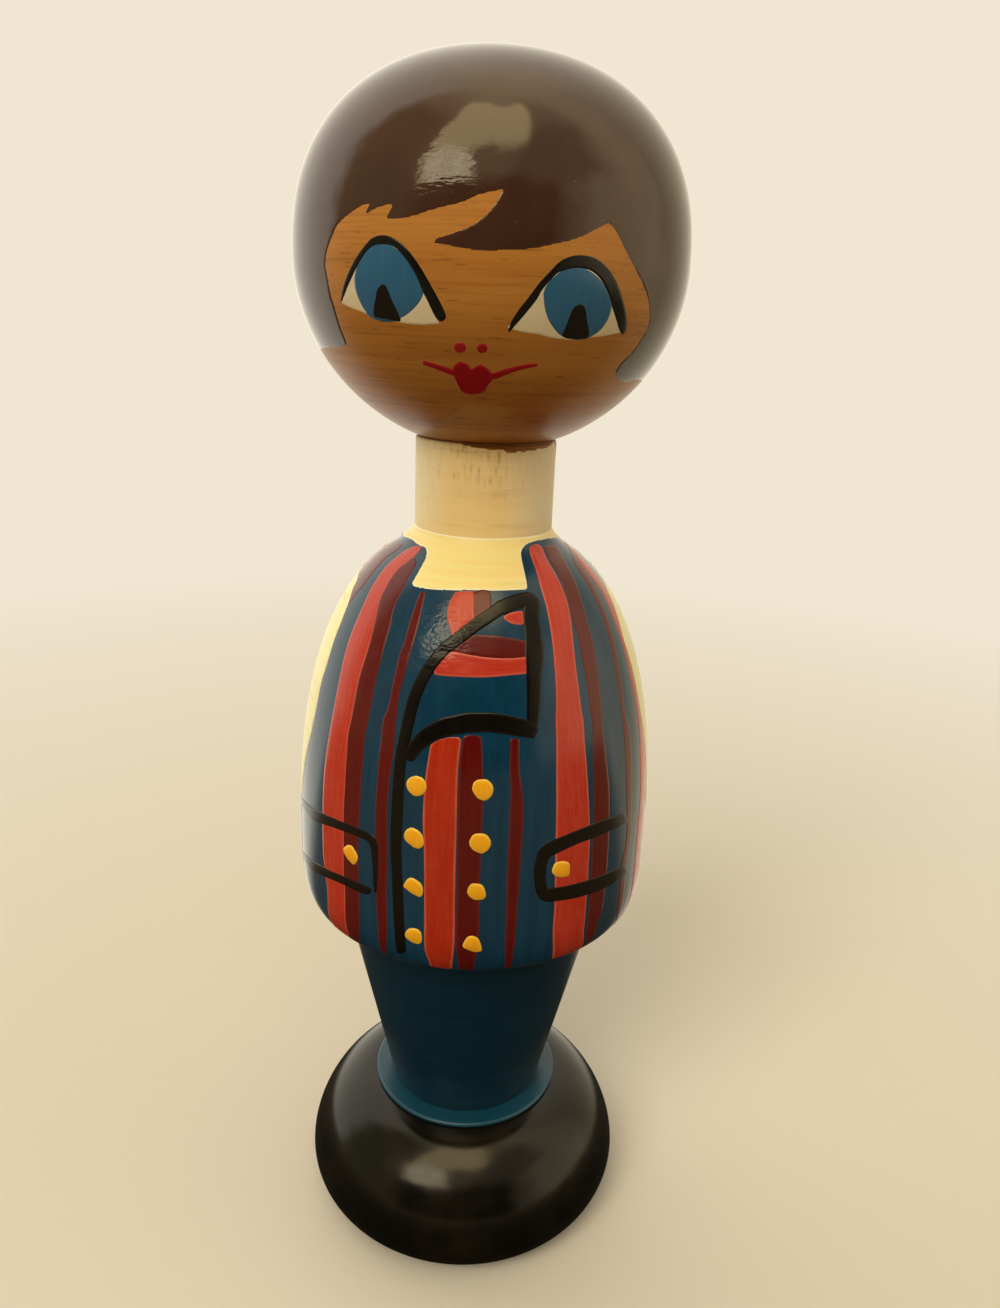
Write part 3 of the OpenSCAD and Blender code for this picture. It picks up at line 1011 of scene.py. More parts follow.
# The stripes that the photograph shows: paint, lift, whether the stripe runs off over the
# jacket's lower rim, and its two long edges in pixels from the neckline down
STRIPES_PX = {
    "right_coral": (
        CORAL, CORAL_LIFT, True,
        [(419, 546), (416.2, 545.8), (409.3, 548.1), (403.6, 551.5), (396.7, 556.7), (388.6, 563.6),
         (381.7, 571.6), (377.1, 578.5), (372, 586.6), (368, 594.6), (363.9, 603.8), (359, 614.5),
         (352, 631), (346.5, 647.5), (342.5, 664), (338.5, 683), (335, 701.5), (331.5, 720.5),
         (329, 734), (326.5, 750.5), (324, 772), (323, 791), (322.5, 809.5), (322.5, 831),
         (323, 852), (325, 871), (327.5, 894.5), (329, 916)],
        [(419, 546), (421.4, 547.5), (419, 551.5), (413.9, 556.7), (408.1, 562.4), (400.1, 568.2),
         (394.4, 575.1), (389.8, 582), (385.8, 590), (381.7, 598), (377.5, 614.5), (375, 626),
         (371.5, 640.5), (366.5, 657), (362, 671), (358.5, 685), (355, 704), (352, 720.5),
         (349, 734), (348, 750.5), (346.5, 772), (345.5, 791), (344.5, 809.5), (344.5, 831),
         (344.5, 852), (344.5, 871), (346, 894.5), (348.5, 931)]),
    "right_maroon": (
        MAROON, STRIPE_LIFT, True,
        [(414, 557), (410, 559), (404, 564), (398, 568.2), (392.4, 575.1), (387.8, 582),
         (383.8, 590), (379.7, 598), (376, 614.5), (373.5, 626), (370, 640.5), (365, 657),
         (360.5, 671), (357, 685), (353.5, 704), (350.5, 720.5), (347.5, 734), (346.5, 750.5),
         (345, 772), (344, 791), (343, 809.5), (343, 831), (343, 852), (343, 871), (344.5, 894.5),
         (347, 931)],
        [(414, 557), (416.5, 560), (416, 565), (411, 574), (406.4, 582.5), (402.4, 591),
         (398.4, 598), (393, 612), (390.5, 626), (385.5, 642.5), (381, 661.5), (376, 680.5),
         (372.5, 699.5), (369, 718), (365, 739), (363.5, 758), (362, 779), (360.5, 802.5),
         (359, 826), (358.5, 852), (359, 875.5), (359.5, 899.5), (360, 923), (359.5, 939.5)]),
    "right_armhole": (
        MAROON, STRIPE_LIFT, False,
        [(400, 541.5), (395.5, 541.5), (385.2, 546.4), (377.1, 551.5), (369.7, 557.3), (364, 563),
         (358, 577), (353, 588.5), (349, 601), (347, 607)],
        [(400, 541.5), (403, 544.6), (396.7, 551), (388.6, 556.1), (381.7, 563), (376, 569.3),
         (371.4, 575.1), (363.9, 585.4), (356.5, 594), (348, 606)]),
    "right_narrow": (
        MAROON, STRIPE_LIFT, False,
        [(422, 592), (419.5, 593.5), (414, 609.5), (409, 624), (404.5, 640.5), (399.5, 654.5),
         (395.5, 671), (391.5, 690), (388, 706.5), (383, 720), (381, 739), (378.5, 760),
         (377, 781.5), (375.5, 802.5), (375, 826), (375.5, 852), (375.5, 875.5), (376, 899.5),
         (377.5, 923), (378.5, 939.5), (381, 950)],
        [(423, 592), (425.5, 593), (422, 609.5), (418.5, 626), (414, 642.5), (409, 659),
         (404.5, 675.5), (399.5, 694.5), (397.5, 709), (396, 727), (394, 748.5), (391.5, 767),
         (389, 791), (388, 814.5), (388, 838), (388, 861.5), (387, 885), (387, 909), (387, 932.5),
         (386.5, 951), (384.5, 956)]),
    "middle_coral": (
        DEEP_CORAL, CORAL_LIFT, True,
        [(431, 740), (428.5, 755.5), (425.5, 774.5), (423.5, 798), (422.5, 821.5), (423.5, 845),
         (424, 871), (424, 894.5), (424, 918), (424, 939.5), (425, 951), (429, 962)],
        [(462, 734), (460.5, 748.5), (458.5, 767), (457.5, 791), (457, 814.5), (456.5, 838),
         (456, 861.5), (455.5, 885), (455, 909), (455, 932.5), (454, 951), (452.5, 964)]),
    "middle_maroon": (
        MAROON, STRIPE_LIFT, True,
        [(464, 734), (461, 748.5), (459, 767), (458, 791), (457.5, 814.5), (457, 838),
         (456.5, 861.5), (456.5, 885), (456, 909), (455.5, 932.5), (456, 951), (458, 964)],
        [(481.5, 734.5), (482.5, 750.5), (483, 767), (483.5, 791), (483, 814.5), (482, 838),
         (481, 861.5), (480, 885), (479.5, 909), (479, 932.5), (477, 951), (475, 963)]),
    "middle_narrow": (
        MAROON, STRIPE_LIFT, True,
        [(510, 737.5), (509.5, 755.5), (509.5, 774.5), (510.5, 791), (509.5, 814.5), (508.5, 838),
         (507, 861.5), (506.5, 885), (506, 909), (505, 932.5), (504.5, 951), (505, 963)],
        [(519.5, 737.5), (519.5, 755.5), (520, 774.5), (522.5, 791), (523.5, 802.5), (523.5, 819),
         (522.5, 838), (521, 861.5), (519.5, 885), (517.5, 909), (516, 932.5), (514, 951),
         (512, 963.5)]),
    "left_coral": (
        CORAL, CORAL_LIFT, True,
        [(529, 545.5), (530.5, 555.5), (535.5, 569.5), (540, 586), (545, 602.5), (548.5, 619),
         (551.5, 638), (554, 661.5), (555.5, 685), (556, 709), (555.5, 720), (556, 743.5),
         (556, 767), (556, 791), (556, 814.5), (555, 852), (554.5, 885), (554, 909), (552.5, 932.5),
         (552, 956)],
        [(535.5, 543.5), (541.5, 547), (547, 560), (554.5, 572), (561.5, 586), (567.5, 602.5),
         (571, 619), (573, 638), (575.5, 661.5), (578.5, 685), (581.5, 709), (583.5, 720),
         (585, 743.5), (587, 767), (588.5, 791), (589.5, 814.5), (590, 838), (589, 861.5),
         (588, 885), (586, 909), (584, 932.5), (582.5, 946.5)]),
    "left_maroon": (
        MAROON, STRIPE_LIFT, True,
        [(542, 543), (548.5, 559), (555.5, 570.5), (562.5, 586), (568, 601.5), (573, 621.5),
         (578, 638), (582.5, 661.5), (587, 685), (589.5, 709), (592, 720), (592.5, 743.5),
         (593, 767), (594, 791), (593, 814.5), (592.5, 838), (591.5, 861.5), (590, 885),
         (588.5, 909), (586, 932.5), (585, 944)],
        [(557.5, 545), (563, 557.3), (568, 566.1), (573.1, 576.4), (577.5, 586.7), (580.5, 597.7),
         (584.1, 608.7), (587.1, 619.7), (591, 633.5), (595.5, 652), (598, 673.5), (600.5, 694.5),
         (602.5, 720), (605, 743.5), (607.5, 767), (609.5, 791), (609.5, 814.5), (609, 838),
         (607.5, 861.5), (605.5, 885), (602.5, 909), (598, 923), (594.5, 934.5), (589.5, 943)]),
    "left_narrow": (
        MAROON, STRIPE_LIFT, True,
        [(565, 542.5), (571, 554), (576.5, 567), (591, 591), (601.5, 614.5), (608.5, 638),
         (613.5, 661.5), (617.5, 685), (621, 709), (623, 727), (624.5, 743.5), (626, 791),
         (626, 838), (621.5, 861.5), (619, 885), (617, 909), (613.5, 925.5)],
        [(567.5, 541.5), (575.5, 554), (583.5, 567), (596.5, 591), (606.5, 614.5), (613.5, 638),
         (618, 661.5), (621.5, 685), (624.5, 709), (629, 727), (631, 743.5), (632, 791), (631, 838),
         (627.5, 861.5), (625, 885), (621.5, 909), (617, 925.5)])
}
# One edge of the coral stripe round the armhole on the doll's left, and the stripe's width
ARMHOLE_CORAL_EDGE_PX = [
    (563, 541.5), (584, 567), (601.5, 591), (612, 614.5), (620.5, 638), (627, 661.5), (632, 685),
    (636.5, 709), (639, 732.5), (640, 767), (640, 791), (638.5, 814), (636.5, 838), (634.5, 861.5),
    (632, 885), (627, 905), (620, 922)]
ARMHOLE_CORAL_WIDTH = np.radians(9.5)

# Stripes round the back: name, paint, lift, and each middle and width in degrees of turn
BACK_STRIPES = (
    ("coral", CORAL, CORAL_LIFT, [(115, 12), (153, 12.5), (191, 12), (229, 12.5), (267, 11)]),
    ("maroon", MAROON, STRIPE_LIFT, [(125.5, 9), (163.5, 9.5), (201.5, 9), (239.5, 9), (283, 14)]),
    ("narrow", MAROON, STRIPE_LIFT, [(138, 5), (176, 5.5), (214, 5), (252, 5)]))
BACK_STRIPE_Z = [140.6, 136, 129, 120, 110, 100, 90, 81, 75, 72.7]
RIM_Z = 72.7
HAND_WOBBLE = np.radians(0.8)
HAND_SEED = 11


def to_rim(edge):
    """The edge of a stripe, carried on over the jacket's lower rim at the turn of its end."""
    return np.vstack([edge, [edge[-1, 0], TORSO.along(RIM_Z)]])


def front_stripes():
    """The stripes that the photograph shows, coral over maroon over the blue."""
    for name, (paint, lift, runs_off, *edges) in STRIPES_PX.items():
        edges = [TORSO.seen(edge) for edge in edges]
        if runs_off:
            edges = [to_rim(edge) for edge in edges]
        band(name + "_stripe", TORSO, paint, *edges, lift)
    inner = TORSO.seen(ARMHOLE_CORAL_EDGE_PX)
    band("left_armhole_stripe", TORSO, CORAL, to_rim(inner),
         to_rim(inner + [ARMHOLE_CORAL_WIDTH, 0]), CORAL_LIFT)


def back_stripes():
    """The same stripes carried on round the back, each edge with its own slight wobble."""
    hand = np.random.default_rng(HAND_SEED)
    along = TORSO.along(BACK_STRIPE_Z)
    for kind, paint, lift, stripes in BACK_STRIPES:
        for number, (middle, width) in enumerate(stripes, 1):
            drift = np.cumsum(hand.uniform(-1, 1, (2, len(along))), 1) / 2
            turns = np.radians([[middle - width / 2], [middle + width / 2]]) + HAND_WOBBLE * drift
            edges = [np.stack([turn, along], 1) for turn in turns]
            band(f"back_{kind}_stripe_{number}", TORSO, paint, *edges, lift)


# The shirt's edge, first in degrees of turn and millimetres of height where it follows the
# neck's foot, then in pixels down the neckline, across and up again
SHIRT_RIGHT_RING = [(-100, 142.2), (-90, 142.4), (-79, 142.65), (-65, 143), (-56, 143.1)]
NECKLINE_PX = (
    [(415.6, 543.2), (419.6, 545.8), (423.6, 547), (425.9, 549.2), (426.5, 552.7), (425.4, 558.4),
     (421.9, 565.3), (417.9, 572.8), (413.9, 579.1), (412, 583.5)],
    [(412, 583.5), (413.3, 586), (419.1, 588.4), (431.5, 589.7), (449.5, 590.5), (475, 590.5),
     (492, 591), (510, 590.5), (527.5, 589.5)],
    [(527.5, 589.5), (527, 583.5), (524, 569), (521.5, 557), (521.7, 550.7), (524, 547),
     (527.3, 544.4), (533, 542), (538, 540.7)])
SHIRT_LEFT_RING = [
    (57, 144.22), (69.5, 144.1), (82.5, 143.7), (95, 143.2), (107, 142.7), (130, 142.2),
    (180, 142.3), (230, 142.1), (280, 142.2)]

# The grid that the shirt is cut from: turns in degrees, close over the front, and rows from a
# height up to the fillet's top
SHIRT_TURNS = np.concatenate([np.arange(-90, 45, 0.6), np.linspace(45, 270, 151)])
SHIRT_FOOT_Z = 136.5
SHIRT_ROWS = 44


def shirt():
    """The shirt front and the cream ring that runs up the neck's foot, as one film."""
    edge = [TORSO.placed(SHIRT_RIGHT_RING)]
    edge += [smooth_curve(TORSO.seen(pixels), 40) for pixels in NECKLINE_PX]
    edge.append(TORSO.placed(SHIRT_LEFT_RING))
    top = TORSO.along(FILLET_TOP[1] - 0.01)
    edge.append([(np.radians(280), top), (np.radians(-100), top)])
    alongs = np.linspace(TORSO.along(SHIRT_FOOT_Z), top, SHIRT_ROWS)
    filled("shirt_front", TORSO, SHIRT, np.concatenate(edge), np.radians(SHIRT_TURNS), alongs,
           CREAM_LIFT)


# The sleeves: the front edge in pixels from the top down, then the back edge, up again, as
# degrees of turn and millimetres of height
SLEEVES_PX = {
    "right_sleeve": (
        [(367, 559), (364.5, 563.6), (361.8, 568), (358.2, 577.9), (353.6, 588.3), (349, 601.5),
         (346, 609.5), (340.5, 624), (336, 635.6), (331, 651), (326.2, 667), (322.2, 680),
         (318, 700), (314.2, 720), (309.8, 740), (306, 757)],
        [(-71, 92.5), (-80, 88.6), (-91, 88), (-102, 90.5), (-110.5, 97), (-115, 106), (-117, 116),
         (-115.5, 124), (-110, 131), (-103, 135.2), (-96, 137.2)]),
    "left_sleeve": (
        [(592.2, 561), (597.3, 569.8), (603.2, 580.8), (608.3, 592.5), (613.5, 605.7),
         (617.9, 619.7), (621.5, 632.9), (624.1, 642.4), (631.4, 667), (638, 701.7), (641.5, 722),
         (643.3, 736)],
        [(84, 94.5), (93, 89.6), (106, 88), (117, 90.2), (126, 97), (130.5, 107), (132, 117),
         (131, 126), (125, 133), (117, 136.8), (110, 138.3)])}


def sleeves():
    for name, (front, back) in SLEEVES_PX.items():
        outline = np.vstack([TORSO.seen(front), TORSO.placed(back)])
        blob(name, TORSO, SLEEVES, outline, SLEEVE_LIFT, 40, points=241)


# Patches of stripe above the lapel, in pixels
PATCHES_PX = {
    "coral_patch": (CORAL, CORAL_LIFT, [
        (455, 592.5), (464, 591), (473.5, 592.5), (474, 607), (474.5, 622), (468, 632), (455, 640),
        (450, 628), (447, 617), (448, 607), (451, 599)]),
    "maroon_patch": (MAROON, STRIPE_LIFT, [
        (473, 592.5), (477, 591), (482, 588.8), (487, 589.6), (490, 592.5), (491.5, 600),
        (491, 610), (486, 618), (474.5, 624), (473.5, 607)]),
    "inner_patch": (CORAL, CORAL_LIFT, [
        (507, 614), (513, 612), (520, 611), (523, 612), (523.5, 618), (523, 624), (516, 624.5),
        (510, 623), (505, 619.5), (503.5, 616.5)])}

# Bands across the lapel, each between an upper and a lower edge, in pixels
LAPEL_BANDS_PX = {
    "lapel_maroon": (
        MAROON, STRIPE_LIFT,
        [(466, 636), (476.5, 634.5), (490.5, 635), (502.5, 636.5), (528, 641)],
        [(448, 651), (455, 652.5), (469.5, 655.5), (486, 658), (502.5, 659), (516.5, 658.5),
         (528, 657)]),
    "lapel_coral": (
        CORAL, CORAL_LIFT,
        [(446, 651), (455, 651.5), (469.5, 654.5), (486, 657), (502.5, 658), (516.5, 657.5),
         (529, 656)],
        [(430, 674), (445.5, 676), (464.5, 677), (479, 677.5), (493, 677), (509.5, 675.5),
         (529, 673.5)])}

# Black lines as rows of across, down and width in pixels, with each line's lift, the rounding
# of its first end, and the point out of sight that it runs to, in degrees and millimetres
LINES_PX = {
    "front_line": (LINE_LIFT, 0, None, [
        (515, 602, 14), (503, 606, 14), (497.5, 610, 14), (486, 618, 14), (474, 626, 14),
        (460, 637, 14), (445.5, 648.5, 13.5), (434, 661.5, 13), (424.5, 675.5, 13),
        (417.5, 690, 13), (412.5, 704, 13), (408.5, 720, 13), (405, 737, 12.5), (401, 757, 12),
        (399, 779, 12), (397.5, 802.5, 12), (396.5, 826, 12), (396, 850, 11.5), (397, 873.5, 11),
        (398, 897, 11), (399, 920.5, 11), (400.5, 944, 10.5), (402, 955, 9)]),
    "collar_line": (LINE_LIFT + UNDERCUT, 1, None, [
        (497, 611, 16), (508, 605, 16), (520, 601, 16), (529, 600, 16), (532, 606, 17),
        (531, 615, 17), (533, 630, 17), (534, 643, 18), (534.5, 656, 19), (534, 673, 16.5),
        (534, 690, 15), (533.5, 709, 14), (532.5, 724, 12), (532, 735, 12)]),
    "hem_line": (LINE_LIFT + 2 * UNDERCUT, 0, None, [
        (537, 732.5, 13), (526, 728.5, 18), (514, 726, 19), (502.5, 724, 20), (490.5, 722.5, 20),
        (479, 722.5, 20), (467, 723, 21), (456, 725, 20), (445.5, 727, 20), (436, 731, 19),
        (427, 736.5, 18), (419.5, 742.5, 16), (412.5, 751, 14), (407, 761, 13)]),
    "right_pocket": (LINE_LIFT, 1, (-72, 92.5), [
        (375.5, 893, 3), (375.5, 880, 5), (375.5, 868, 6), (375, 856, 7), (374, 845, 8),
        (370, 838.5, 8), (362, 834, 8), (351, 829.5, 8.5), (337, 824, 9.5), (323, 818.5, 10.5),
        (315, 815, 11)]),
    "right_pocket_foot": (LINE_LIFT, 1, (-70, 81.5), [
        (371.5, 889.5, 7), (366, 890, 8.5), (356, 886, 8.5), (342, 879.5, 8.5), (328, 873.5, 8.5),
        (315, 867, 9)]),
    "left_pocket": (LINE_LIFT, 1, None, [
        (627.5, 816.5, 11), (615.5, 821.5, 12), (594.5, 830, 14), (573, 838.5, 14),
        (555.5, 846.5, 14.5), (546, 852, 13.5), (541.5, 861.5, 12.5), (540, 871, 12.5),
        (540.5, 883, 12.5), (542.5, 891, 13), (547, 895, 14), (556.5, 894, 14.5), (571, 891.5, 15),
        (589.5, 886.5, 14.5), (605, 880.5, 13), (620.5, 872, 10.5), (627.5, 867, 7)])}


def lapel_and_lines():
    """The striped lapel, and the black lines of the jacket's front and its pockets."""
    for name, (paint, lift, pixels) in PATCHES_PX.items():
        blob(name, TORSO, paint, TORSO.seen(pixels), lift)
    for name, (paint, lift, *edges) in LAPEL_BANDS_PX.items():
        band(name, TORSO, paint, *(TORSO.seen(edge) for edge in edges), lift)
    for name, (lift, first, onward, rows) in LINES_PX.items():
        drawn_line(name, TORSO, BLACK, rows, lift, first, onward)


# Outlines of the buttons in pixels: the two rows down the front, and those of the pockets
BUTTONS_PX = {
    "right_button_1": [
        (416, 775.5), (422, 777.5), (426, 782.5), (427, 787), (425, 792), (421, 795.5), (415, 796),
        (410, 792.5), (407, 788), (406.5, 782.5), (410, 777.5)],
    "right_button_2": [
        (413, 827.5), (418.5, 830.5), (422, 834.5), (423.5, 839), (423.5, 845), (420, 848.5),
        (415, 848), (410.5, 845), (405.5, 840.5), (404, 835.5), (405.5, 831), (409, 828)],
    "right_button_3": [
        (411.5, 877.5), (416, 879.5), (421, 883.5), (423, 888.5), (422.5, 894.5), (420, 897),
        (415, 895), (410.5, 892.5), (405.5, 888.5), (403.5, 886), (405.5, 881.5), (408, 878.5)],
    "right_button_4": [
        (413, 928), (417.5, 929), (421, 932.5), (422, 937), (421.5, 942), (418.5, 944),
        (412.5, 942.5), (408, 939.5), (405, 936), (405.5, 932), (409, 928.5)],
    "left_button_1": [
        (482.5, 779), (488, 780), (492.5, 785), (493.5, 790.5), (491.5, 796), (487, 800),
        (482.5, 800.5), (477.5, 798), (473.5, 793), (472, 788.5), (473.5, 782.5), (477.5, 779.5)],
    "left_button_2": [
        (480, 833), (486, 834.5), (490, 839), (491, 844.5), (488, 850), (482.5, 853.5),
        (476.5, 852), (471.5, 848.5), (469, 843), (470.5, 838), (474, 834)],
    "left_button_3": [
        (476.5, 883), (481.5, 884.5), (484.5, 888.5), (486, 894.5), (484.5, 898.5), (480, 900),
        (474, 899.5), (469.5, 896.5), (467, 892.5), (468, 887.5), (471.5, 883.5)],
    "left_button_4": [
        (473, 935.5), (477.5, 937.5), (480.5, 943), (482, 949), (480.5, 951.5), (475, 952),
        (468, 950), (463.5, 947.5), (462.5, 944.5), (465, 939.5), (468.5, 936)],
    "right_pocket_button": [
        (348, 844.5), (352, 845.5), (355, 849.5), (357.5, 854.5), (358, 859), (356, 863.5),
        (353.5, 864.5), (350, 861.5), (346.5, 857), (344, 852), (344, 847.5)],
    "left_pocket_button": [
        (562.5, 860.5), (567.5, 861.5), (570, 865), (569.5, 873.5), (568, 876), (561.5, 877.5),
        (555.5, 876), (552, 872), (553, 866.5), (556.5, 862)]}


def buttons():
    """Thick drops of yellow paint."""
    for name, pixels in BUTTONS_PX.items():
        blob(name, TORSO, YELLOW, TORSO.seen(pixels), BUTTON_LIFT, 20, BUTTON_DOME)


# The brown ring at the top of the neck, where the head's varnish ran down, by its lower edge:
# in pixels at the front, and in degrees of turn and millimetres of height round the back
NECK_BROWN_EDGE_PX = [
    (462, 441), (462.8, 444.5), (464.2, 446.8), (471, 447.5), (478.2, 448.9), (486.6, 449.6),
    (492, 451), (499.3, 450), (504.2, 451), (506.3, 453.2), (514.7, 453.6), (519, 451.6),
    (523.1, 453.2), (527.3, 451.2), (534.3, 451.2), (538, 449.2), (542.8, 449.4), (549.8, 446.6),
    (554, 443)]
NECK_BROWN_BACK = [
    (95, 157.4), (130, 157.8), (165, 157.3), (200, 157.9), (235, 158.2), (250, 160.2)]

# The grid that the ring is cut from: rows from a height up, and steps of turn in radians
NECK_BROWN_FOOT_Z = 155.5
NECK_BROWN_STEP = 0.02
NECK_BROWN_ROWS = 26


def neck_ring():
    """The ragged seam of varnish and cream paint at the neck's top."""
    front = smooth_curve(NECK.seen(NECK_BROWN_EDGE_PX), RUN_SAMPLES)
    back = smooth_curve(NECK.placed(NECK_BROWN_BACK), RUN_SAMPLES)
    top = NECK.along(NECK_TOP_Z - 0.01)
    edge = np.concatenate([front, back, [(back[-1, 0], top), (front[0, 0], top)]])
    step = NECK_BROWN_STEP
    turns = np.arange(front[:, 0].min() - step, back[-1, 0] + step, step)
    alongs = np.linspace(NECK.along(NECK_BROWN_FOOT_Z), top, NECK_BROWN_ROWS)
    filled("neck_seam", NECK, WOOD, edge, turns, alongs, UNDER_LIFT)


# Half the floor's side, and from where to where, in metres, its pale colour fades into the
# background, its reflection lightens, and gloss passes it to see the wall
FLOOR_HALF = 0.9
FLOOR_FADE = (0.12, 0.55)
GLOSS_FADE = (0.06, 0.22)
WALL_FOOT = (0.05, 0.09)
BACKGROUND = srgb(241, 230, 210)
FLOOR_PALE = srgb(222, 210, 186)
FLOOR_UNDERNEATH = srgb(120, 104, 80)
# Painted shade: what gloss sees of the floor near the doll is dark, for the carpet in shade round
# it.
FLOOR_SHADE_IN_GLOSS = srgb(30, 26, 18)
FLOOR_FAR_IN_GLOSS = srgb(128, 112, 84)


def stage():
    """A wide pale floor that fades into the background's colour. Gloss sees it as far as the wall
    behind the doll, dark near the doll as painted shade of the carpet round it, lighter away from
    it, and then the wall."""
    size = FLOOR_HALF
    corners = [(-size, -size, 0), (size, -size, 0), (size, size, 0), (-size, size, 0)]
    mesh = bpy.data.meshes.new("floor")
    mesh.from_pydata(corners, [], [(0, 1, 2, 3)])
    floor = bpy.data.objects.new("floor", mesh)
    bpy.context.scene.collection.objects.link(floor)
    s = new_material("floor")
    away = s.node("VectorMath", {0: s.place}, operation="LENGTH").outputs["Value"]
    paths = s.node("LightPath").outputs
    seen, glossy = paths["Is Camera Ray"], paths["Is Glossy Ray"]
    shaded_gloss_floor = s.mix(s.ramp(away, *GLOSS_FADE), FLOOR_SHADE_IN_GLOSS, FLOOR_FAR_IN_GLOSS)
    colour = s.mix(glossy, FLOOR_UNDERNEATH, shaded_gloss_floor)
    s.finish(s.mix(seen, colour, FLOOR_PALE), 0.9)
    glow = s.node("Emission", {"Color": BACKGROUND, "Strength": 1.0}).outputs[0]
    faded = s.times(s.ramp(away, *FLOOR_FADE), seen)
    near = s.node("MixShader", {0: faded, 1: s.surface.outputs[0], 2: glow}).outputs[0]
    far = s.times(s.ramp(s.parts["Y"], *WALL_FOOT), glossy)
    through = s.node("BsdfTransparent").outputs[0]
    whole = s.node("MixShader", {0: far, 1: near, 2: through}).outputs[0]
    s.put(s.tree.nodes["Material Output"].inputs["Surface"], whole)
    mesh.materials.append(s.owner)


# Colours and strengths of the room that surfaces reflect, and how diffuse light takes it
ROOM_FRONT = (0.03, 0.027, 0.022)
ROOM_LEFT = (0.38, 0.32, 0.18)
ROOM_RIGHT = (1.35, 1.1, 0.7)
ROOM_HIGH = (0.5, 0.42, 0.27)
OVERHEAD = (1.8, 1.5, 0.9)
WALL_LEFT = (1.4, 1.3, 1.08)
WALL_RIGHT = (0.75, 0.64, 0.38)
CEILING = (3.9, 3.1, 1.6)
WINDOW = (8.0, 7.0, 5.2)
PLAIN_LIGHT = 0.95
PLAIN_LIGHT_OVERHEAD = 0.25
PLAIN_LIGHT_ON_THE_SIDE = 0.7
PLAIN_TINT = 0.45


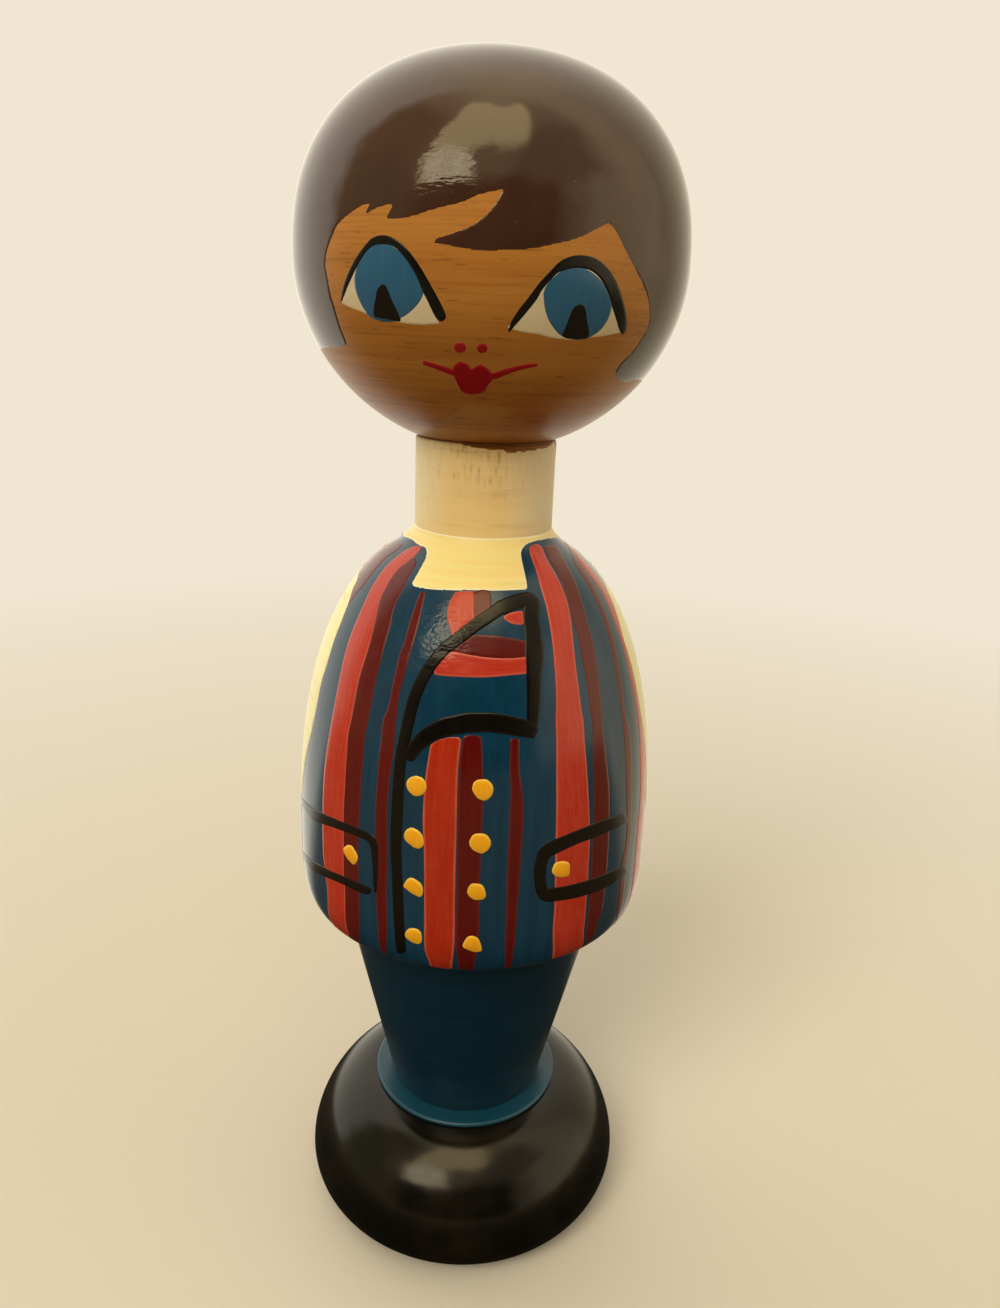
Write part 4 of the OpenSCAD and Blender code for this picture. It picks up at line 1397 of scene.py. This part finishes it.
def world():
    """The room round the doll as soft patches of light in the world's own directions: a pale
    wall behind, brighter on the left, a dim room in front with a lighter right side, and high
    in front a faint ceiling, a bright patch of it, and a window in the patch's left part.
    Directions are azimuths from the front, positive to the doll's left, and rises, in degrees.
    Diffuse light takes the same room with less tint, and the camera sees the plain background."""
    made = bpy.data.worlds.new("studio")
    bpy.context.scene.world = made
    s = Shader(made)
    way = s.node("TexCoord").outputs["Generated"]
    parts = s.node("SeparateXYZ", {0: way}).outputs
    turn = s.math("ARCTAN2", parts["X"], s.times(parts["Y"], -1.0))
    height = s.math("ARCSINE", parts["Z"])
    waver = s.ramp(s.noise((1, 1, 1), size=5.0, detail=3, source=way), 0.3, 0.7, -4, 4)
    mottle = s.noise((1, 1, 1), size=22.0, detail=5, roughness=0.7, source=way)
    turn = s.plus(s.times(turn, DEGREE), waver)
    height = s.plus(s.times(height, DEGREE), waver)

    def above(value, level, soft):
        """One above a level and nothing below it, passing over some degrees."""
        return s.ramp(value, level - soft / 2, level + soft / 2)

    def below(value, level, soft):
        """One below a level and nothing above it, passing over some degrees."""
        return s.ramp(value, level - soft / 2, level + soft / 2, 1, 0)

    light = s.mix(below(turn, -38, 12), ROOM_FRONT, ROOM_LEFT)
    light = s.mix(above(turn, 52, 30), light, ROOM_RIGHT)
    haze = s.times(s.times(above(turn, -53, 8), below(turn, 80, 16)), above(height, 32, 8))
    light = s.mix(haze, light, ROOM_HIGH)
    wall = s.mix(s.ramp(parts["X"], -0.2, 0.85), WALL_LEFT, WALL_RIGHT)
    light = s.mix(below(turn, -92, 8), light, wall)
    light = s.mix(above(turn, 110, 18), light, wall)
    light = s.mix(above(height, 72, 30), light, OVERHEAD)
    right_side = s.plus(turn, s.times(height, -0.9))
    inside = s.times(s.times(above(turn, -40, 3), below(right_side, -17, 5)),
                     s.times(above(height, 28, 3), below(height, 79, 5)))
    notch = s.times(above(turn, -7, 5), below(height, 51, 8))
    light = s.mix(s.times(inside, s.ramp(notch, 0, 1, 1, 0.1)), light, CEILING)
    pane = s.times(s.times(above(turn, -37, 3), below(turn, -6, 4)),
                   s.times(above(height, 29, 3), below(height, 47, 4)))
    light = s.mix(s.times(pane, s.ramp(mottle, 0.42, 0.62)), light, WINDOW)
    paths = s.node("LightPath").outputs
    strength = s.times(s.ramp(height, 45, 80, PLAIN_LIGHT, PLAIN_LIGHT_OVERHEAD),
                       s.ramp(turn, 50, 85, 1, PLAIN_LIGHT_ON_THE_SIDE))
    plain = s.node("HueSaturation", {"Color": light, "Saturation": PLAIN_TINT,
                                     "Value": strength}).outputs[0]
    light = s.mix(paths["Is Glossy Ray"], plain, light)
    light = s.mix(paths["Is Camera Ray"], light, BACKGROUND)
    backdrop = s.tree.nodes["Background"].inputs
    s.put(backdrop["Color"], light)
    s.put(backdrop["Strength"], 1.0)


def stand(name, data, axes, place):
    """Puts a lamp or a camera at a place, with its right, up and backward axes."""
    matrix = np.eye(4)
    matrix[:3] = np.stack([*axes, place], 1)
    made = bpy.data.objects.new(name, data)
    made.matrix_world = Matrix(matrix.tolist())
    bpy.context.scene.collection.objects.link(made)
    return made


# The lamp's direction and distance from the middle of the doll, its size and its light
LAMP_TURN = np.radians(-24)
LAMP_RISE = np.radians(36)
LAMP_DISTANCE = 0.7
LAMP_W, LAMP_H = 0.34, 0.24
LAMP_WATTS = 1.1
LAMP_COLOUR = (1.0, 0.97, 0.92)
MIDDLE_OF_DOLL = np.array([0, 0, 0.13])


def window_lamp():
    """A soft rectangular lamp that faces the middle of the doll and shows in no reflection."""
    level, rise = np.cos(LAMP_RISE), np.sin(LAMP_RISE)
    way = np.array([level * np.sin(LAMP_TURN), -level * np.cos(LAMP_TURN), rise])
    light = bpy.data.lights.new("window", "AREA")
    light.shape = "RECTANGLE"
    light.size, light.size_y = LAMP_W, LAMP_H
    light.energy = LAMP_WATTS
    light.color = LAMP_COLOUR
    across = np.cross([0, 0, 1], way)
    across /= np.linalg.norm(across)
    lamp = stand("window", light, (across, np.cross(way, across), way),
                 MIDDLE_OF_DOLL + way * LAMP_DISTANCE)
    lamp.visible_glossy = False


def camera():
    place, right, up, ahead = camera_axes()
    data = bpy.data.cameras.new("camera")
    data.sensor_width = SENSOR_W
    data.lens = FOCAL_PX / PHOTO_H * SENSOR_W
    data.clip_start = 0.01
    data.clip_end = 20
    bpy.context.scene.camera = stand("camera", data, (right, up, -ahead), place)
    bpy.context.scene.view_settings.view_transform = "Standard"


camera()
world()
window_lamp()
stage()
turned_pieces()
bare_dowels()
hair()
eyes()
nose_and_mouth()
front_stripes()
back_stripes()
shirt()
sleeves()
lapel_and_lines()
buttons()
neck_ring()
